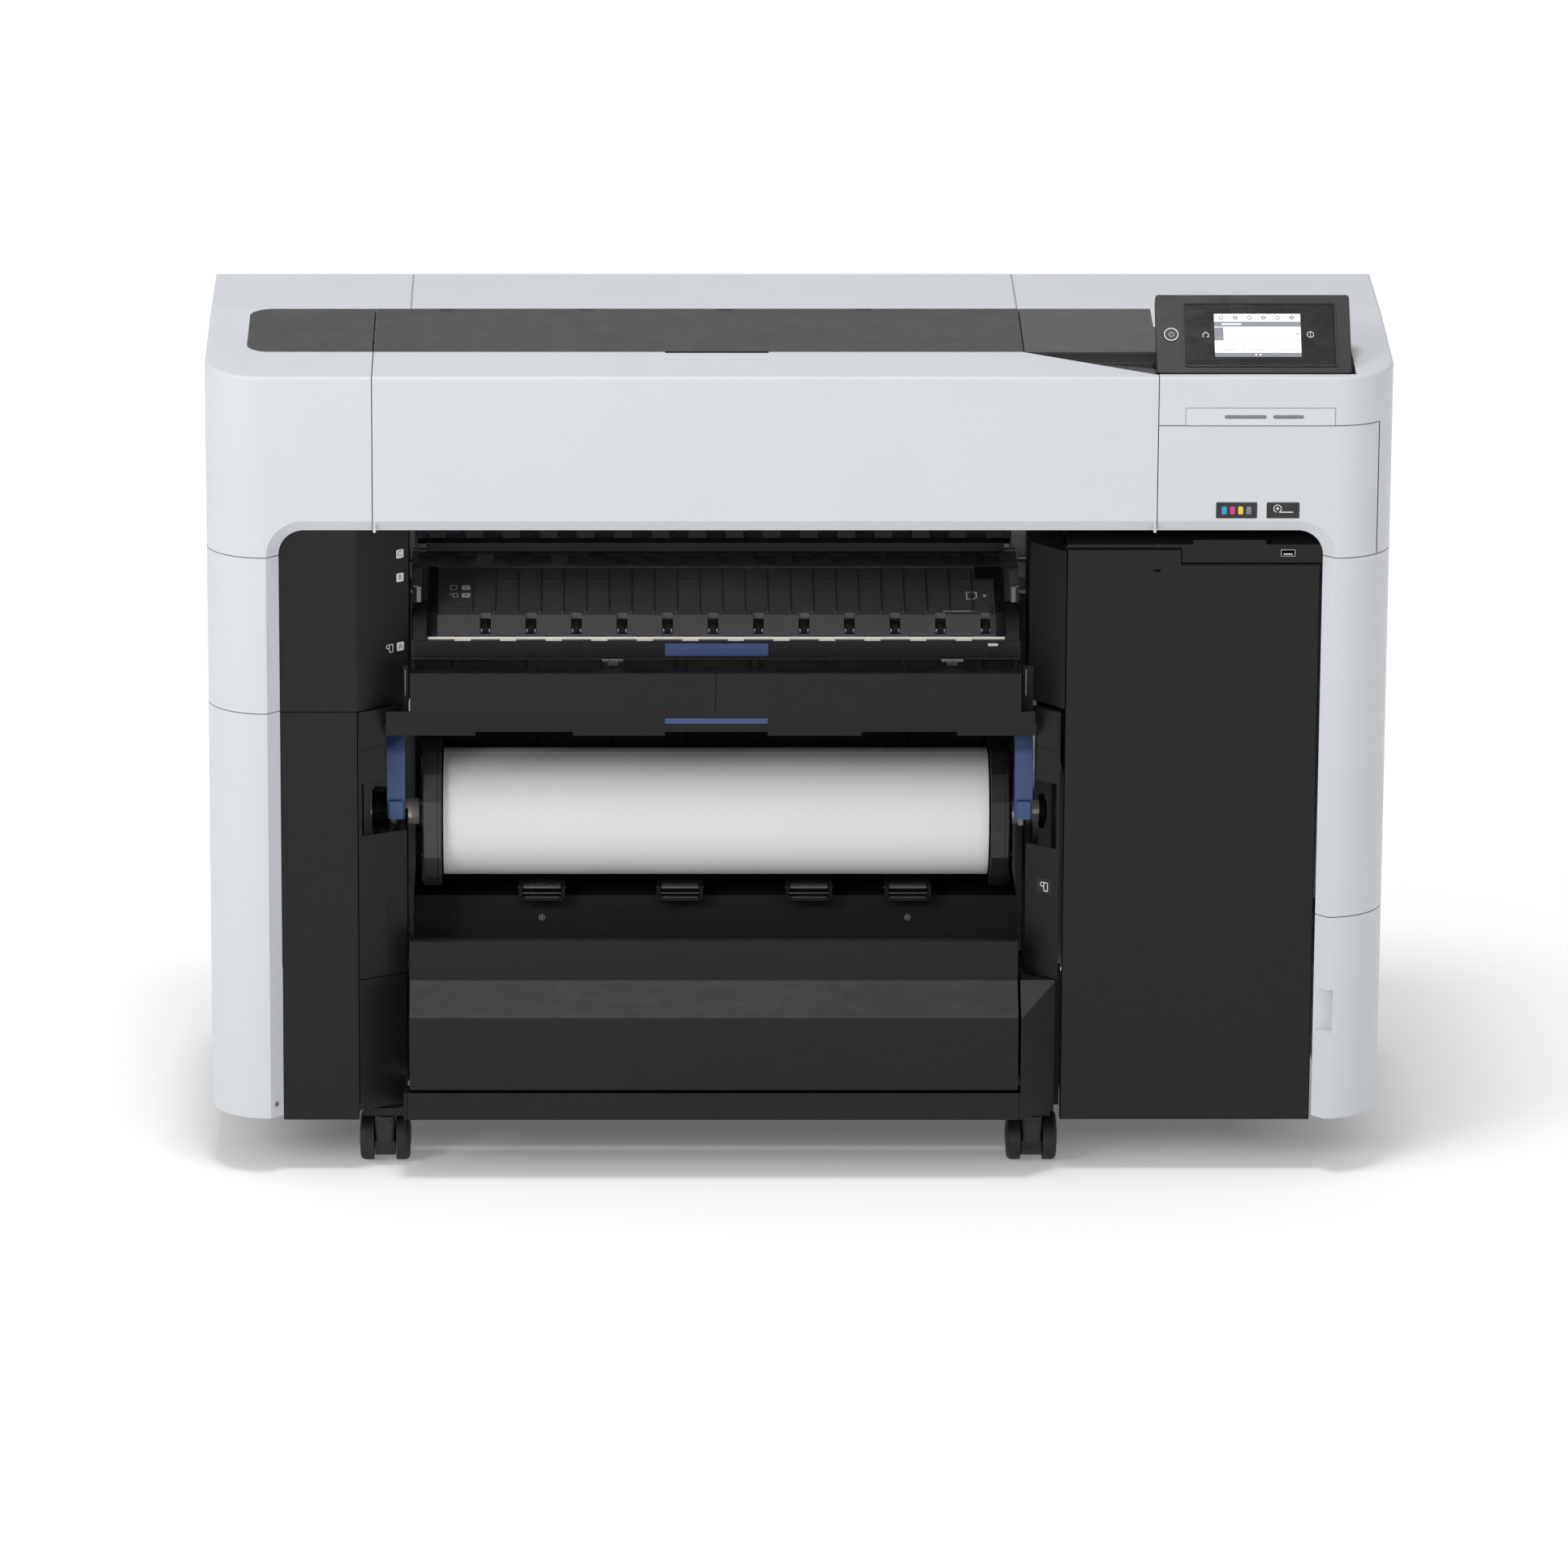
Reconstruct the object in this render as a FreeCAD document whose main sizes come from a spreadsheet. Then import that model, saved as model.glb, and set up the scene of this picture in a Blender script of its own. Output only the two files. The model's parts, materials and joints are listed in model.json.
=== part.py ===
"""Large format plotter: a free-standing roll-fed ink-jet printer on four twin-wheel casters.

Frame: +Z up, -Y towards the user, origin on the floor under the middle of the overall box.
Every size is in millimetres and is driven by the spreadsheet "Dimensions".
"""
import FreeCAD, Part
import Sketcher
import os
import re

V = FreeCAD.Vector

DIMENSIONS = {
    # overall shell
    "width": 1308, "front": -280, "deck": -265, "bump": -300, "back": 300,
    "cover_bottom": 66, "cabinet_bottom": 60, "wall": 4, "skin": 3, "seam": 1, "fit": 0.3,
    "corner": 65, "rear_corner": 56, "edge_round": 4,
    # heights of the roof line, front to back
    "roof_front": 918, "roof_window": 925, "roof_hinge": 938, "roof_back": 942, "rear_edge": 894,
    "window_front": -189, "window_back": -35, "roof_end": 120,
    # seams between the shells
    "cover_left": -469, "cover_right": 393, "roof_left": -430, "roof_right": 247,
    "side_seam": 713.5, "left_seam": 535.5, "right_seam": 301, "side_reach": 560,
    "badge_top": 864, "badge_right": 637,
    # mouth in the white shell and its flared rim
    "mouth_left": -573, "mouth_right": 577, "mouth_top": 742, "mouth_round": 28, "rim_flare": 13.5,
    # black band on the roof
    "band_left": -609, "band_round": 25, "band_split": 249, "grip_left": -147, "grip_right": -33,
    # control panel
    "panel_left": 392, "panel_right": 605.5, "panel_front": -255, "panel_base": 917,
    "panel_reach": 98, "panel_tilt": 47.5, "panel_thick": 14,
    "screen_left": 424, "screen_right": 588, "screen_low": 10, "screen_high": 86,
    "button_place": 408.5, "button_radius": 8.6, "button_rise": 48,
    # black front: fascias, columns and cabinets
    "fascia_bottom": 534, "fascia_bend": -488, "throat_left": -431, "throat_right": 257,
    "throat_front": -220, "fascia_back": -125, "right_bend": 295, "plastic": 3,
    "column_back": -150, "column_left": -434, "column_right": 255.5, "column_front": -237,
    "column_base": 223, "column_top": 533, "notch_top": 450, "notch_base": 390,
    # ink door and shelf above it
    "ink_left": 296, "ink_right": 575, "ink_step": 421, "ink_high": 720, "ink_low": 703,
    "door_thick": 18,
    # paper bay
    "bin_left": -431, "bin_right": 247, "bin_top": 268, "bevel_top": 223, "bevel_base": 190,
    "bin_base": 106, "toe_top": 102, "toe_base": 71,
    # roll of paper and its spindle
    "roll_depth": -130, "roll_height": 381, "roll_radius": 71, "core_radius": 38,
    "roll_left": -394, "roll_right": 216, "flange_radius": 82, "flange_thick": 20,
    "spindle_radius": 12.5, "spindle_left": -476, "spindle_right": 276,
    # paper guide, swinging about its rear edge
    "guide_left": -427, "guide_right": 247,
    "window_pitch": 50.5, "window_start": -346,
    # print engine
    "engine_left": -430, "engine_right": 250, "platen_top": 652, "feed_radius": 12,
    "pinch_radius": 7, "feed_depth": 5, "carriage_left": 302, "carriage_right": 388,
    "carriage_top": 850, "carriage_base": 655, "rail_front": 48, "belt_depth": 20, "belt_height": 878,
    "belt_width": 8, "pulley_radius": 12, "drive_place": 430, "idler_place": -462,
    # sunken deck under the panel, rear vents, rear end of the maintenance cover, stepped column tops
    "deck_back_edge": -101, "deck_floor": 22, "vent_place": 330, "vent_half": 90, "vent_base": 640,
    "vent_pitch": 14, "vent_high": 6, "service_split": -60, "step_left": -458, "step_right": 266,
    # casters
    "caster_left": -460, "caster_right": 266, "caster_front": -220, "caster_rear": 240,
    "wheel_radius": 28, "wheel_inner": 12.5, "wheel_outer": 28, "trail": 18, "axle_radius": 4,
    "stem_radius": 5,
    # chassis
    "plate_base": 62, "side_left": -450, "side_right": 271, "sheet": 4, "side_front": -98,
    "lever_depth": -118, "lever_height": 503, "running": 0.05,
    # tray under the roll, its small brackets and their loading rollers
    "tray_top": 288, "loader_depth": -152, "loader_height": 298, "loader_radius": 5.5,
}

doc = FreeCAD.newDocument("Plotter")
sheet = doc.addObject("Spreadsheet::Sheet", "Dimensions")
for row, (alias, size) in enumerate(DIMENSIONS.items(), start=1):
    sheet.set(f"A{row}", alias)
    sheet.set(f"B{row}", str(size))
    sheet.setAlias(f"B{row}", alias)
doc.recompute()

sub_parts = []


# ---------------------------------------------------------------- helpers

def formula(text):
    """An expression with every alias pointed at the spreadsheet."""
    return re.sub(r"[a-z]+(_[a-z]+)*", lambda word: "Dimensions." + word.group(0), str(text))


def number(text):
    """The value of an expression, for the few places that need a plain number."""
    return float(sheet.evalExpression(formula(text)))


def place(item, x="0", y="0", z="0"):
    """Bind an object's position to expressions."""
    for axis, text in zip("xyz", (x, y, z)):
        item.setExpression(f"Placement.Base.{axis}", formula(text))


def box(name, x, y, z):
    """A block between three (low, high) pairs of expressions."""
    item = doc.addObject("Part::Box", name)
    for side, (low, high) in zip(("Length", "Width", "Height"), (x, y, z)):
        item.setExpression(side, formula(f"({high}) - ({low})"))
    place(item, x[0], y[0], z[0])
    return item


AXIS_TURN = {
    "X": FreeCAD.Rotation(V(0, 1, 0), 90),
    "Y": FreeCAD.Rotation(V(1, 0, 0), -90),
    "Z": FreeCAD.Rotation(),
}


def rod(name, axis, start, length, radius):
    """A cylinder that starts at a point and runs along +X, +Y or +Z."""
    item = doc.addObject("Part::Cylinder", name)
    item.setExpression("Radius", formula(radius))
    item.setExpression("Height", formula(length))
    item.Placement = FreeCAD.Placement(V(0, 0, 0), AXIS_TURN[axis])
    place(item, *start)
    return item


PLANES = {"XY": ("XY_Plane", "z"), "XZ": ("XZ_Plane", "y"), "YZ": ("YZ_Plane", "x")}


def prism(name, plane, outline, low, high):
    """A body padded from one closed sketch whose corners are all bound to the sheet."""
    body = doc.addObject("PartDesign::Body", name)
    sketch = body.newObject("Sketcher::SketchObject", name + "_outline")
    role, normal = PLANES[plane]
    origin_plane = next(item for item in body.Origin.OriginFeatures if item.Role == role)
    sketch.AttachmentSupport = [(origin_plane, "")]
    sketch.MapMode = "FlatFace"
    corners = [(number(a), number(b)) for a, b in outline]
    count = len(corners)
    for index, corner in enumerate(corners):
        end = corners[(index + 1) % count]
        sketch.addGeometry(Part.LineSegment(V(*corner, 0), V(*end, 0)))
    for index in range(count):
        sketch.addConstraint(Sketcher.Constraint("Coincident", index, 2, (index + 1) % count, 1))
    for index, texts in enumerate(outline):
        for kind, text, size in zip(("DistanceX", "DistanceY"), texts, corners[index]):
            made = sketch.addConstraint(Sketcher.Constraint(kind, -1, 1, index, 1, size))
            sketch.setExpression(f"Constraints[{made}]", formula(text))
    pad = body.newObject("PartDesign::Pad", name + "_pad")
    pad.Profile = sketch
    pad.setExpression("Length", formula(f"({high}) - ({low})"))
    sketch.Visibility = False
    # a pad on the XZ plane grows towards -Y, so it starts at its high side
    start = high if plane == "XZ" else low
    body.setExpression(f"Placement.Base.{normal}", formula(start))
    return body


def fuse(name, pieces):
    item = doc.addObject("Part::MultiFuse", name)
    item.Shapes = pieces
    item.Refine = True
    return item


def common(name, first, second):
    item = doc.addObject("Part::Common", name)
    item.Base = first
    item.Tool = second
    return item


def cut(name, base, tools):
    """The base with one tool, or with several fused tools, taken away."""
    item = doc.addObject("Part::Cut", name)
    item.Base = base
    item.Tool = tools[0] if len(tools) == 1 else fuse(name + "_tools", tools)
    return item


def edit_edges(kind, name, base, size, points):
    """A Part::Fillet or Part::Chamfer on each edge that passes through one of the points."""
    doc.recompute()
    item = doc.addObject(kind, name)
    item.Base = base
    spots = [Part.Vertex(*[number(value) for value in point]) for point in points]
    chosen = []
    for index, edge in enumerate(base.Shape.Edges, start=1):
        if any(edge.distToShape(spot)[0] < 0.05 for spot in spots):
            chosen.append((index, number(size), number(size)))
    if not chosen:
        raise ValueError("no edge found for " + name)
    item.Edges = chosen
    return item


def round_edges(name, base, radius, points):
    return edit_edges("Part::Fillet", name, base, radius, points)


def bevel_edges(name, base, size, points):
    return edit_edges("Part::Chamfer", name, base, size, points)


def row_of(maker, name, start, pitch, count):
    """The same small shape repeated along X; the maker gets a name and an X expression."""
    return [maker(f"{name}_{index}", f"{start} + {index} * ({pitch})") for index in range(count)]


def sub_part(label, item):
    """Register a finished piece: its label is its file's name."""
    item.Label = label
    sub_parts.append(item)
    return item


# ---------------------------------------------------------------- white shell

ROOF = [("front", "roof_front"), ("window_front", "roof_window"), ("window_back", "roof_hinge"),
        ("roof_end", "roof_back"), ("back", "rear_edge")]


def envelope(name, inset, drop="0"):
    """The outer form of the machine, drawn in by an inset on every side."""
    plan = prism(name + "_plan", "XY",
                 [(f"-width/2 + {inset}", f"front + {inset}"), (f"width/2 - {inset}", f"front + {inset}"),
                  (f"width/2 - {inset}", f"back - {inset}"), (f"-width/2 + {inset}", f"back - {inset}")],
                 "0", "roof_back + wall")
    front_corners = round_edges(name + "_front_corners", plan, f"corner - {inset}",
                                [(f"{side}*(width/2 - {inset})", f"front + {inset}", "corner")
                                 for side in (-1, 1)])
    plan_round = round_edges(name + "_corners", front_corners, f"rear_corner - {inset}",
                             [(f"{side}*(width/2 - {inset})", f"back - {inset}", "corner")
                              for side in (-1, 1)])
    floor = "cover_bottom" if inset == "0" else "0"
    roof = [(y, f"{z} - {inset} - {drop}") for y, z in ROOF]
    roof[0] = (f"front + {inset}", roof[0][1])
    roof[-1] = (f"back - {inset}", roof[-1][1])
    side = prism(name + "_side", "YZ", [(roof[0][0], floor)] + roof + [(roof[-1][0], floor)],
                 "-width/2", "width/2")
    return common(name, plan_round, side)


def make_shell():
    """The whole white casing as one hollow form, with the flared mouth cut in its front."""
    outer = envelope("outer", "0")
    outer_soft = round_edges("outer_soft", outer, "edge_round",
                             [("0", "front", "roof_front"),
                              ("width/2", "0", "roof_hinge + (roof_back - roof_hinge)*35/155"),
                              ("-width/2", "0", "roof_hinge + (roof_back - roof_hinge)*35/155"),
                              ("width/2", "-100", "roof_window + (roof_hinge - roof_window)*89/154"),
                              ("-width/2", "-100", "roof_window + (roof_hinge - roof_window)*89/154")])
    inner = envelope("inner", "wall")
    hollow = cut("shell_hollow", outer_soft, [inner])
    rim_zone = box("rim_zone", ("-width/2", "width/2"), ("front", "deck"), ("0", "mouth_top + corner/2"))
    rim = common("rim", outer_soft, rim_zone)
    thick = fuse("shell_rim", [hollow, rim])
    outline = [("mouth_left", "-40"), ("mouth_left", "mouth_top"),
               ("mouth_right", "mouth_top"), ("mouth_right", "-40")]
    mouth = prism("mouth", "XZ", outline, "front - 2*seam", "deck + corner")
    mouth_soft = round_edges("mouth_soft", mouth, "mouth_round",
                             [(side, "deck", "mouth_top") for side in ("mouth_left", "mouth_right")])
    block = box("rim_block", ("-width/2", "width/2"), ("front - seam", "deck"),
                ("-20", "mouth_top + corner/2"))
    frame = cut("rim_frame", block, [mouth_soft])
    arc_in = "mouth_round*(1 - 0.70711)"
    flared = bevel_edges("rim_flared", frame, "rim_flare + seam",
                         [("mouth_left", "front - seam", "200"), ("mouth_right", "front - seam", "200"),
                          ("0", "front - seam", "mouth_top"),
                          (f"mouth_left + {arc_in}", "front - seam", f"mouth_top - {arc_in}"),
                          (f"mouth_right - {arc_in}", "front - seam", f"mouth_top - {arc_in}")])
    plug_block = box("plug_block", ("mouth_left - corner/2", "mouth_right + corner/2"),
                     ("front - seam", "deck"), ("-20", "mouth_top + corner/2"))
    plug = cut("mouth_plug", plug_block, [flared])
    return outer_soft, cut("shell", cut("shell_flared", thick, [plug]), [mouth_soft])


def plan_region(name, corners):
    """A tall prism over part of the roof, for taking one cover out of the shell."""
    return prism(name, "XY", corners, "roof_front - corner", "roof_back + corner")


def rectangle(left, right, low, high):
    return [(left, low), (right, low), (right, high), (left, high)]


outer_form, shell = make_shell()


def roof_layer(name, region, above):
    """The top few millimetres of the roof inside a plan region; it may reach above the surface."""
    upper = [(y, f"{z} + {above}") for y, z in ROOF[:4]]
    lower = [(y, f"{z} - skin") for y, z in reversed(ROOF[:4])]
    layer = prism(name + "_layer", "YZ", upper + lower, "-width/2", "width/2")
    return common(name, layer, region)


def roof_plate(name, region):
    """A thin plate that lies flush in the roof."""
    return roof_layer(name, region, "0")


def roof_seat(name, region):
    """The recess that a roof plate lies in."""
    return roof_layer(name, region, "wall")


GAP = "seam/2"
ABOVE = ("side_seam + " + GAP, "roof_back + corner")


def make_band():
    """Dark roof band: moving window, fixed left insert and the fixed deck round the panel."""
    window_region = plan_region("window_region", rectangle("cover_left + seam", "band_split - seam",
                                                           "window_front", "window_back - seam"))
    window = roof_plate("window_plate", window_region)
    notch = box("finger_notch", ("grip_left", "grip_right"), ("window_front - wall", "window_front + skin"),
                ("roof_front", "roof_back"))
    sub_part("cover_window", cut("cover_window_cut", window, [notch]))
    left_region = plan_region("left_band_region", rectangle("band_left", "cover_left - seam",
                                                            "window_front", "window_back - seam"))
    left_soft = round_edges("left_band_soft", left_region, "band_round",
                            [("band_left", "window_front", "roof_window"),
                             ("band_left", "window_back - seam", "roof_window")])
    left_plate = roof_plate("left_band_plate", left_soft)
    sub_part("left_band_insert", left_plate)
    return window_region, left_soft, notch


window_region, left_band_region, finger_notch = make_band()

# plan of the fixed dark deck that frames the control panel, cut off diagonally at its front
DECK_PLAN = [("band_split", "window_back - seam"), ("band_split", "window_front"),
             ("cover_right - 3", "front + 11"), ("panel_right + 4", "front + 11"),
             ("panel_right + 4", "window_back - seam - corner"),
             ("panel_left + 4", "window_back - seam - corner"),
             ("panel_left + 4", "window_back - seam")]


def make_front_cover():
    """Hinged top cover: white front wall and front strip, carrying the dark window."""
    zone = box("front_cover_zone", ("cover_left + " + GAP, "cover_right - " + GAP),
               ("front - seam", "window_back - seam"), ("mouth_top - corner", "roof_back + corner"))
    raw = common("front_cover_raw", shell, zone)
    ribs = []
    for side, low, high, depth in (("left", f"cover_left + {GAP}", f"cover_left + {GAP} + skin", "corner"),
                                   ("right", f"cover_right - {GAP} - skin", f"cover_right - {GAP}", "11")):
        strip = box(f"cover_rib_{side}_zone", (low, high), ("front + wall/2", f"front + {depth}"),
                    ("mouth_top", "roof_front - 30"))
        ribs.append(common(f"cover_rib_{side}", outer_form, strip))
    ribbed = fuse("front_cover_ribbed", [raw] + ribs)
    below = box("window_seat_zone", ("cover_left - seam", "band_split"),
                ("window_front - fit", "window_back"),
                ("roof_front", "roof_back + corner"))
    seat = roof_seat("window_seat", below)
    deck_zone = plan_region("cover_deck_clearance",
                            [("band_split - seam", "window_back"),
                             ("band_split - seam", "window_front - seam"),
                             ("cover_right - 3", "front + 10"), ("cover_right + corner", "front + 10"),
                             ("cover_right + corner", "window_back")])
    return sub_part("front_cover", cut("front_cover_cut", ribbed, [seat, deck_zone, finger_notch]))


def make_top_covers():
    """Fixed white roof covers left, right and rear, with the front badge panel on the right."""
    rear_low = "window_back - seam/2"
    left = fuse("left_top_zone", [
        box("left_top_a", ("-width/2", "cover_left - " + GAP), ("front - seam", rear_low), ABOVE),
        box("left_top_b", ("-width/2", "roof_left - " + GAP), (rear_low, "roof_end"), ABOVE),
        box("left_top_c", ("-width/2", "-side_reach - " + GAP), ("roof_end", "back"), ABOVE)])
    left_raw = common("left_top_raw", shell, left)
    left_seat = roof_seat("left_seat", left_band_region)
    left_notch = box("left_top_trim", ("cover_left - 2*seam", "cover_left"), ("window_front", "window_back"),
                     ("roof_window - skin", "roof_back + corner"))
    sub_part("left_top_cover", cut("left_top_cut", left_raw, [left_seat, left_notch]))

    right = fuse("right_top_zone", [
        box("right_top_a", ("cover_right + " + GAP, "width/2"), ("front - seam", rear_low), ABOVE),
        box("right_top_b", ("roof_right + " + GAP, "width/2"), (rear_low, "roof_end"), ABOVE),
        box("right_top_c", ("side_reach + " + GAP, "width/2"), ("roof_end", "back"), ABOVE)])
    right_raw = common("right_top_raw", shell, right)
    badge_zone = box("badge_zone", ("cover_right", "badge_right"), ("front - seam", "front + corner"),
                     ("side_seam", "badge_top"))
    deck_hole = plan_region("deck_hole", DECK_PLAN)
    sub_part("right_top_cover", cut("right_top_cut", right_raw, [badge_zone, deck_hole]))

    badge_fill = box("badge_fill", ("cover_right + " + GAP, "badge_right - seam"),
                     ("front - seam", "front + corner - seam"), ("side_seam + " + GAP, "badge_top - seam"))
    sub_part("right_front_cover", common("right_front_raw", shell, badge_fill))

    roof_zone = box("roof_zone", ("roof_left + " + GAP, "roof_right - " + GAP),
                    ("window_back + seam/2", "roof_end - " + GAP), ABOVE)
    sub_part("rear_top_cover", common("rear_top_raw", shell, roof_zone))


def make_deck():
    """Dark fixed moulding: flush band beside the window and a sunken tray under the panel."""
    band = roof_plate("deck_band", plan_region("deck_band_region", rectangle(
        "band_split + fit", "panel_left + 4 - fit", "window_front", "window_back - seam - fit")))
    tray_plan = [("band_split + fit", "window_front"), ("cover_right - 2", "front + 12"),
                 ("panel_right + 3", "front + 12"), ("panel_right + 3", "deck_back_edge - fit"),
                 ("panel_left + 3", "deck_back_edge - fit"), ("panel_left + 3", "window_back - seam - fit"),
                 ("band_split + fit", "window_back - seam - fit")]
    tray = prism("deck_tray", "XY", tray_plan, "roof_front - deck_floor", "roof_front - 14")
    pillar_plan = rectangle("band_split + fit", "panel_left + 3", "window_front + 1",
                            "window_back - seam - fit")
    pillar = prism("deck_pillar", "XY", pillar_plan, "roof_front - deck_floor", "roof_hinge + corner")
    pillar_low = common("deck_pillar_low", pillar, outer_form)
    back_plan = rectangle("panel_left + 3", "panel_right + 3", "-165", "deck_back_edge - fit")
    back = prism("deck_back", "XY", back_plan, "roof_front - deck_floor", "roof_hinge + corner")
    back_low = common("deck_back_low", back, outer_form)
    wedge_block = prism("deck_wedge_block", "XY",
                        [("band_split + fit", "window_front"), ("cover_right - 2", "front + 12"),
                                                   ("cover_right - 2", "window_front")],
                        "roof_front - deck_floor", "roof_front - 5")
    pocket = prism("deck_wedge_pocket", "XY", [("band_split + 70", "window_front - 2"),
                                               ("cover_right + 5", "window_front - 2"),
                                               ("cover_right + 5", "window_front - 32")],
                   "roof_front - 18", "roof_front")
    wedge = cut("deck_wedge", wedge_block, [pocket])
    solid = fuse("deck_solid", [band, tray, pillar_low, back_low, wedge])
    core = prism("deck_core", "XY",
                 [("band_split + skin", "window_front + wall"), ("cover_right + 4", "window_front + wall"),
                  ("cover_right + 4", "-160"), ("panel_right", "-160"), ("panel_right", "-104"),
                  ("panel_left", "-104"), ("panel_left", "window_back - wall"),
                  ("band_split + skin", "window_back - wall")],
                 "roof_front - 30", "roof_front - 7")
    return sub_part("panel_deck", cut("deck_cut", solid, [core]))


def make_side_covers():
    """White covers down both sides, the hinged maintenance cover and the rear wall."""
    left = ("-width/2", "-side_reach - " + GAP)
    right = ("side_reach + " + GAP, "width/2")
    deep = ("front - seam", "back")
    sub_part("left_middle_cover", common("left_middle_raw", shell, box(
        "left_middle_zone", left, deep, ("left_seam + " + GAP, "side_seam - " + GAP))))
    sub_part("left_lower_cover", common("left_lower_raw", shell, box(
        "left_lower_zone", left, deep, ("0", "left_seam - " + GAP))))
    right_zone = fuse("right_lower_zone", [
        box("right_lower_a", right, deep, ("right_seam + " + GAP, "side_seam - " + GAP)),
        box("right_lower_b", right, ("service_split + " + GAP, "back"), ("0", "right_seam + " + GAP))])
    sub_part("right_lower_cover", common("right_lower_raw", shell, right_zone))
    door = common("maintenance_raw", shell, box(
        "maintenance_zone", right, ("front - seam", "service_split - " + GAP), ("0", "right_seam - " + GAP)))
    grab = box("maintenance_grab", ("mouth_right - seam", "mouth_right + 20"),
               ("front - seam", "deck - wall"), ("167", "216"))
    sub_part("maintenance_cover", cut("maintenance_cut", door, [grab]))


def make_rear_cover():
    """Rear wall and sloping rear roof, with two fields of cooling slots and the inlet window."""
    zone = box("rear_zone", ("-side_reach + " + GAP, "side_reach - " + GAP),
               ("roof_end + " + GAP, "back"), ("0", "roof_back + corner"))
    wall = common("rear_raw", shell, zone)
    slots = []
    for side in (-1, 1):
        for index in range(9):
            slots.append(box(f"vent_{side + 1}_{index}",
                             (f"{side}*vent_place - vent_half", f"{side}*vent_place + vent_half"),
                             ("back - wall - seam", "back + seam"),
                             (f"vent_base + {index}*vent_pitch",
                              f"vent_base + {index}*vent_pitch + vent_high")))
    window = box("inlet_window", ("-520", "-460"), ("back - wall - seam", "back + seam"), ("110", "160"))
    return sub_part("rear_cover", cut("rear_cut", wall, slots + [window]))


# ---------------------------------------------------------------- control panel

def panel_frame():
    """Where the tilted panel face lies: local X along the machine, Y up the slope, Z outwards."""
    return FreeCAD.Placement(V(0, number("panel_front"), number("panel_base")),
                             FreeCAD.Rotation(V(1, 0, 0), number("panel_tilt")))


def on_slope(name, item):
    """Carry a piece that was drawn flat onto the sloping face of the panel."""
    carrier = doc.addObject("Part::Compound", name)
    carrier.Links = [item]
    carrier.Placement = panel_frame()
    return carrier


def make_control_panel():
    """Tilting panel housing with its glass and a power button, all on one sloping plane."""
    slab = box("panel_slab", ("panel_left", "panel_right"), ("0", "panel_reach"), ("-panel_thick", "0"))
    slab_soft = round_edges("panel_soft", slab, "4",
                            [(side, place_, "-2") for side in ("panel_left", "panel_right")
                             for place_ in ("0", "panel_reach")])
    screen_seat = box("screen_seat", ("screen_left - fit", "screen_right + fit"),
                      ("screen_low - fit", "screen_high + fit"), ("-2", "1"))
    button_well = rod("button_well", "Z", ("button_place", "button_rise", "-5"), "6", "button_radius + fit")
    face = cut("panel_face", slab_soft, [screen_seat, button_well])
    screen = box("screen_glass", ("screen_left", "screen_right"), ("screen_low", "screen_high"),
                 ("-2", "0.3"))
    button = rod("button_cap", "Z", ("button_place", "button_rise", "-3.5"), "4.3", "button_radius")
    button_soft = round_edges("button_soft", button, "0.6",
                              [("button_place + button_radius", "button_rise", "0.8")])
    sub_part("touch_screen", on_slope("screen_on_slope", screen))
    sub_part("power_button", on_slope("button_on_slope", button_soft))
    back = prism("panel_back", "YZ", [("-245", "909.5"), ("-184", "973"), ("-178", "960"), ("-176", "932"),
                                      ("-200", "909.5")], "panel_left + 12", "panel_right - 12")
    sub_part("control_panel", fuse("panel_fuse", [on_slope("panel_on_slope", face), back]))


# ---------------------------------------------------------------- black front

def hollow_prism(name, plane, outline, inside, low, high, inner_low, inner_high, rounding=()):
    """A thin-walled moulding: an outer prism less an inner one, both with the same soft edges."""
    outer = prism(name + "_outer", plane, outline, low, high)
    inner = prism(name + "_inner", plane, inside, inner_low, inner_high)
    for index, (radius, outer_points, inner_radius, inner_points) in enumerate(rounding):
        outer = round_edges(f"{name}_outer_soft{index}", outer, radius, outer_points)
        inner = round_edges(f"{name}_inner_soft{index}", inner, inner_radius, inner_points)
    return cut(name + "_shell", outer, [inner])


def make_fascias():
    """Upper blocks on both sides of the paper exit, with slanted inner faces."""
    left = hollow_prism(
        "left_fascia", "XY",
        [("mouth_left + fit", "deck"), ("fascia_bend", "deck"), ("throat_left", "throat_front"),
         ("throat_left", "fascia_back"), ("mouth_left + fit", "fascia_back")],
        [("mouth_left + fit + plastic", "deck + plastic"), ("fascia_bend - 1.2", "deck + plastic"),
         ("throat_left - plastic", "throat_front + 1.3"), ("throat_left - plastic", "fascia_back + 5"),
         ("mouth_left + fit + plastic", "fascia_back + 5")],
        "fascia_bottom", "mouth_top - fit", "fascia_bottom + plastic", "mouth_top - fit - plastic",
        [("mouth_round", [("mouth_left + fit", "-200", "mouth_top - fit")],
          "mouth_round - plastic", [("mouth_left + fit + plastic", "-200", "mouth_top - fit - plastic")])])
    sub_part("left_upper_fascia", left)
    right = hollow_prism(
        "right_fascia", "XY",
        [("right_bend", "deck"), ("throat_right", "throat_front"), ("throat_right", "fascia_back"),
         ("right_bend", "fascia_back")],
        [("right_bend - plastic", "deck + 6"), ("throat_right + plastic", "throat_front + 1.6"),
         ("throat_right + plastic", "fascia_back + 5"), ("right_bend - plastic", "fascia_back + 5")],
        "fascia_bottom + 3", "717", "fascia_bottom + 3 + plastic", "717 - plastic")
    sub_part("right_upper_fascia", right)


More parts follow.
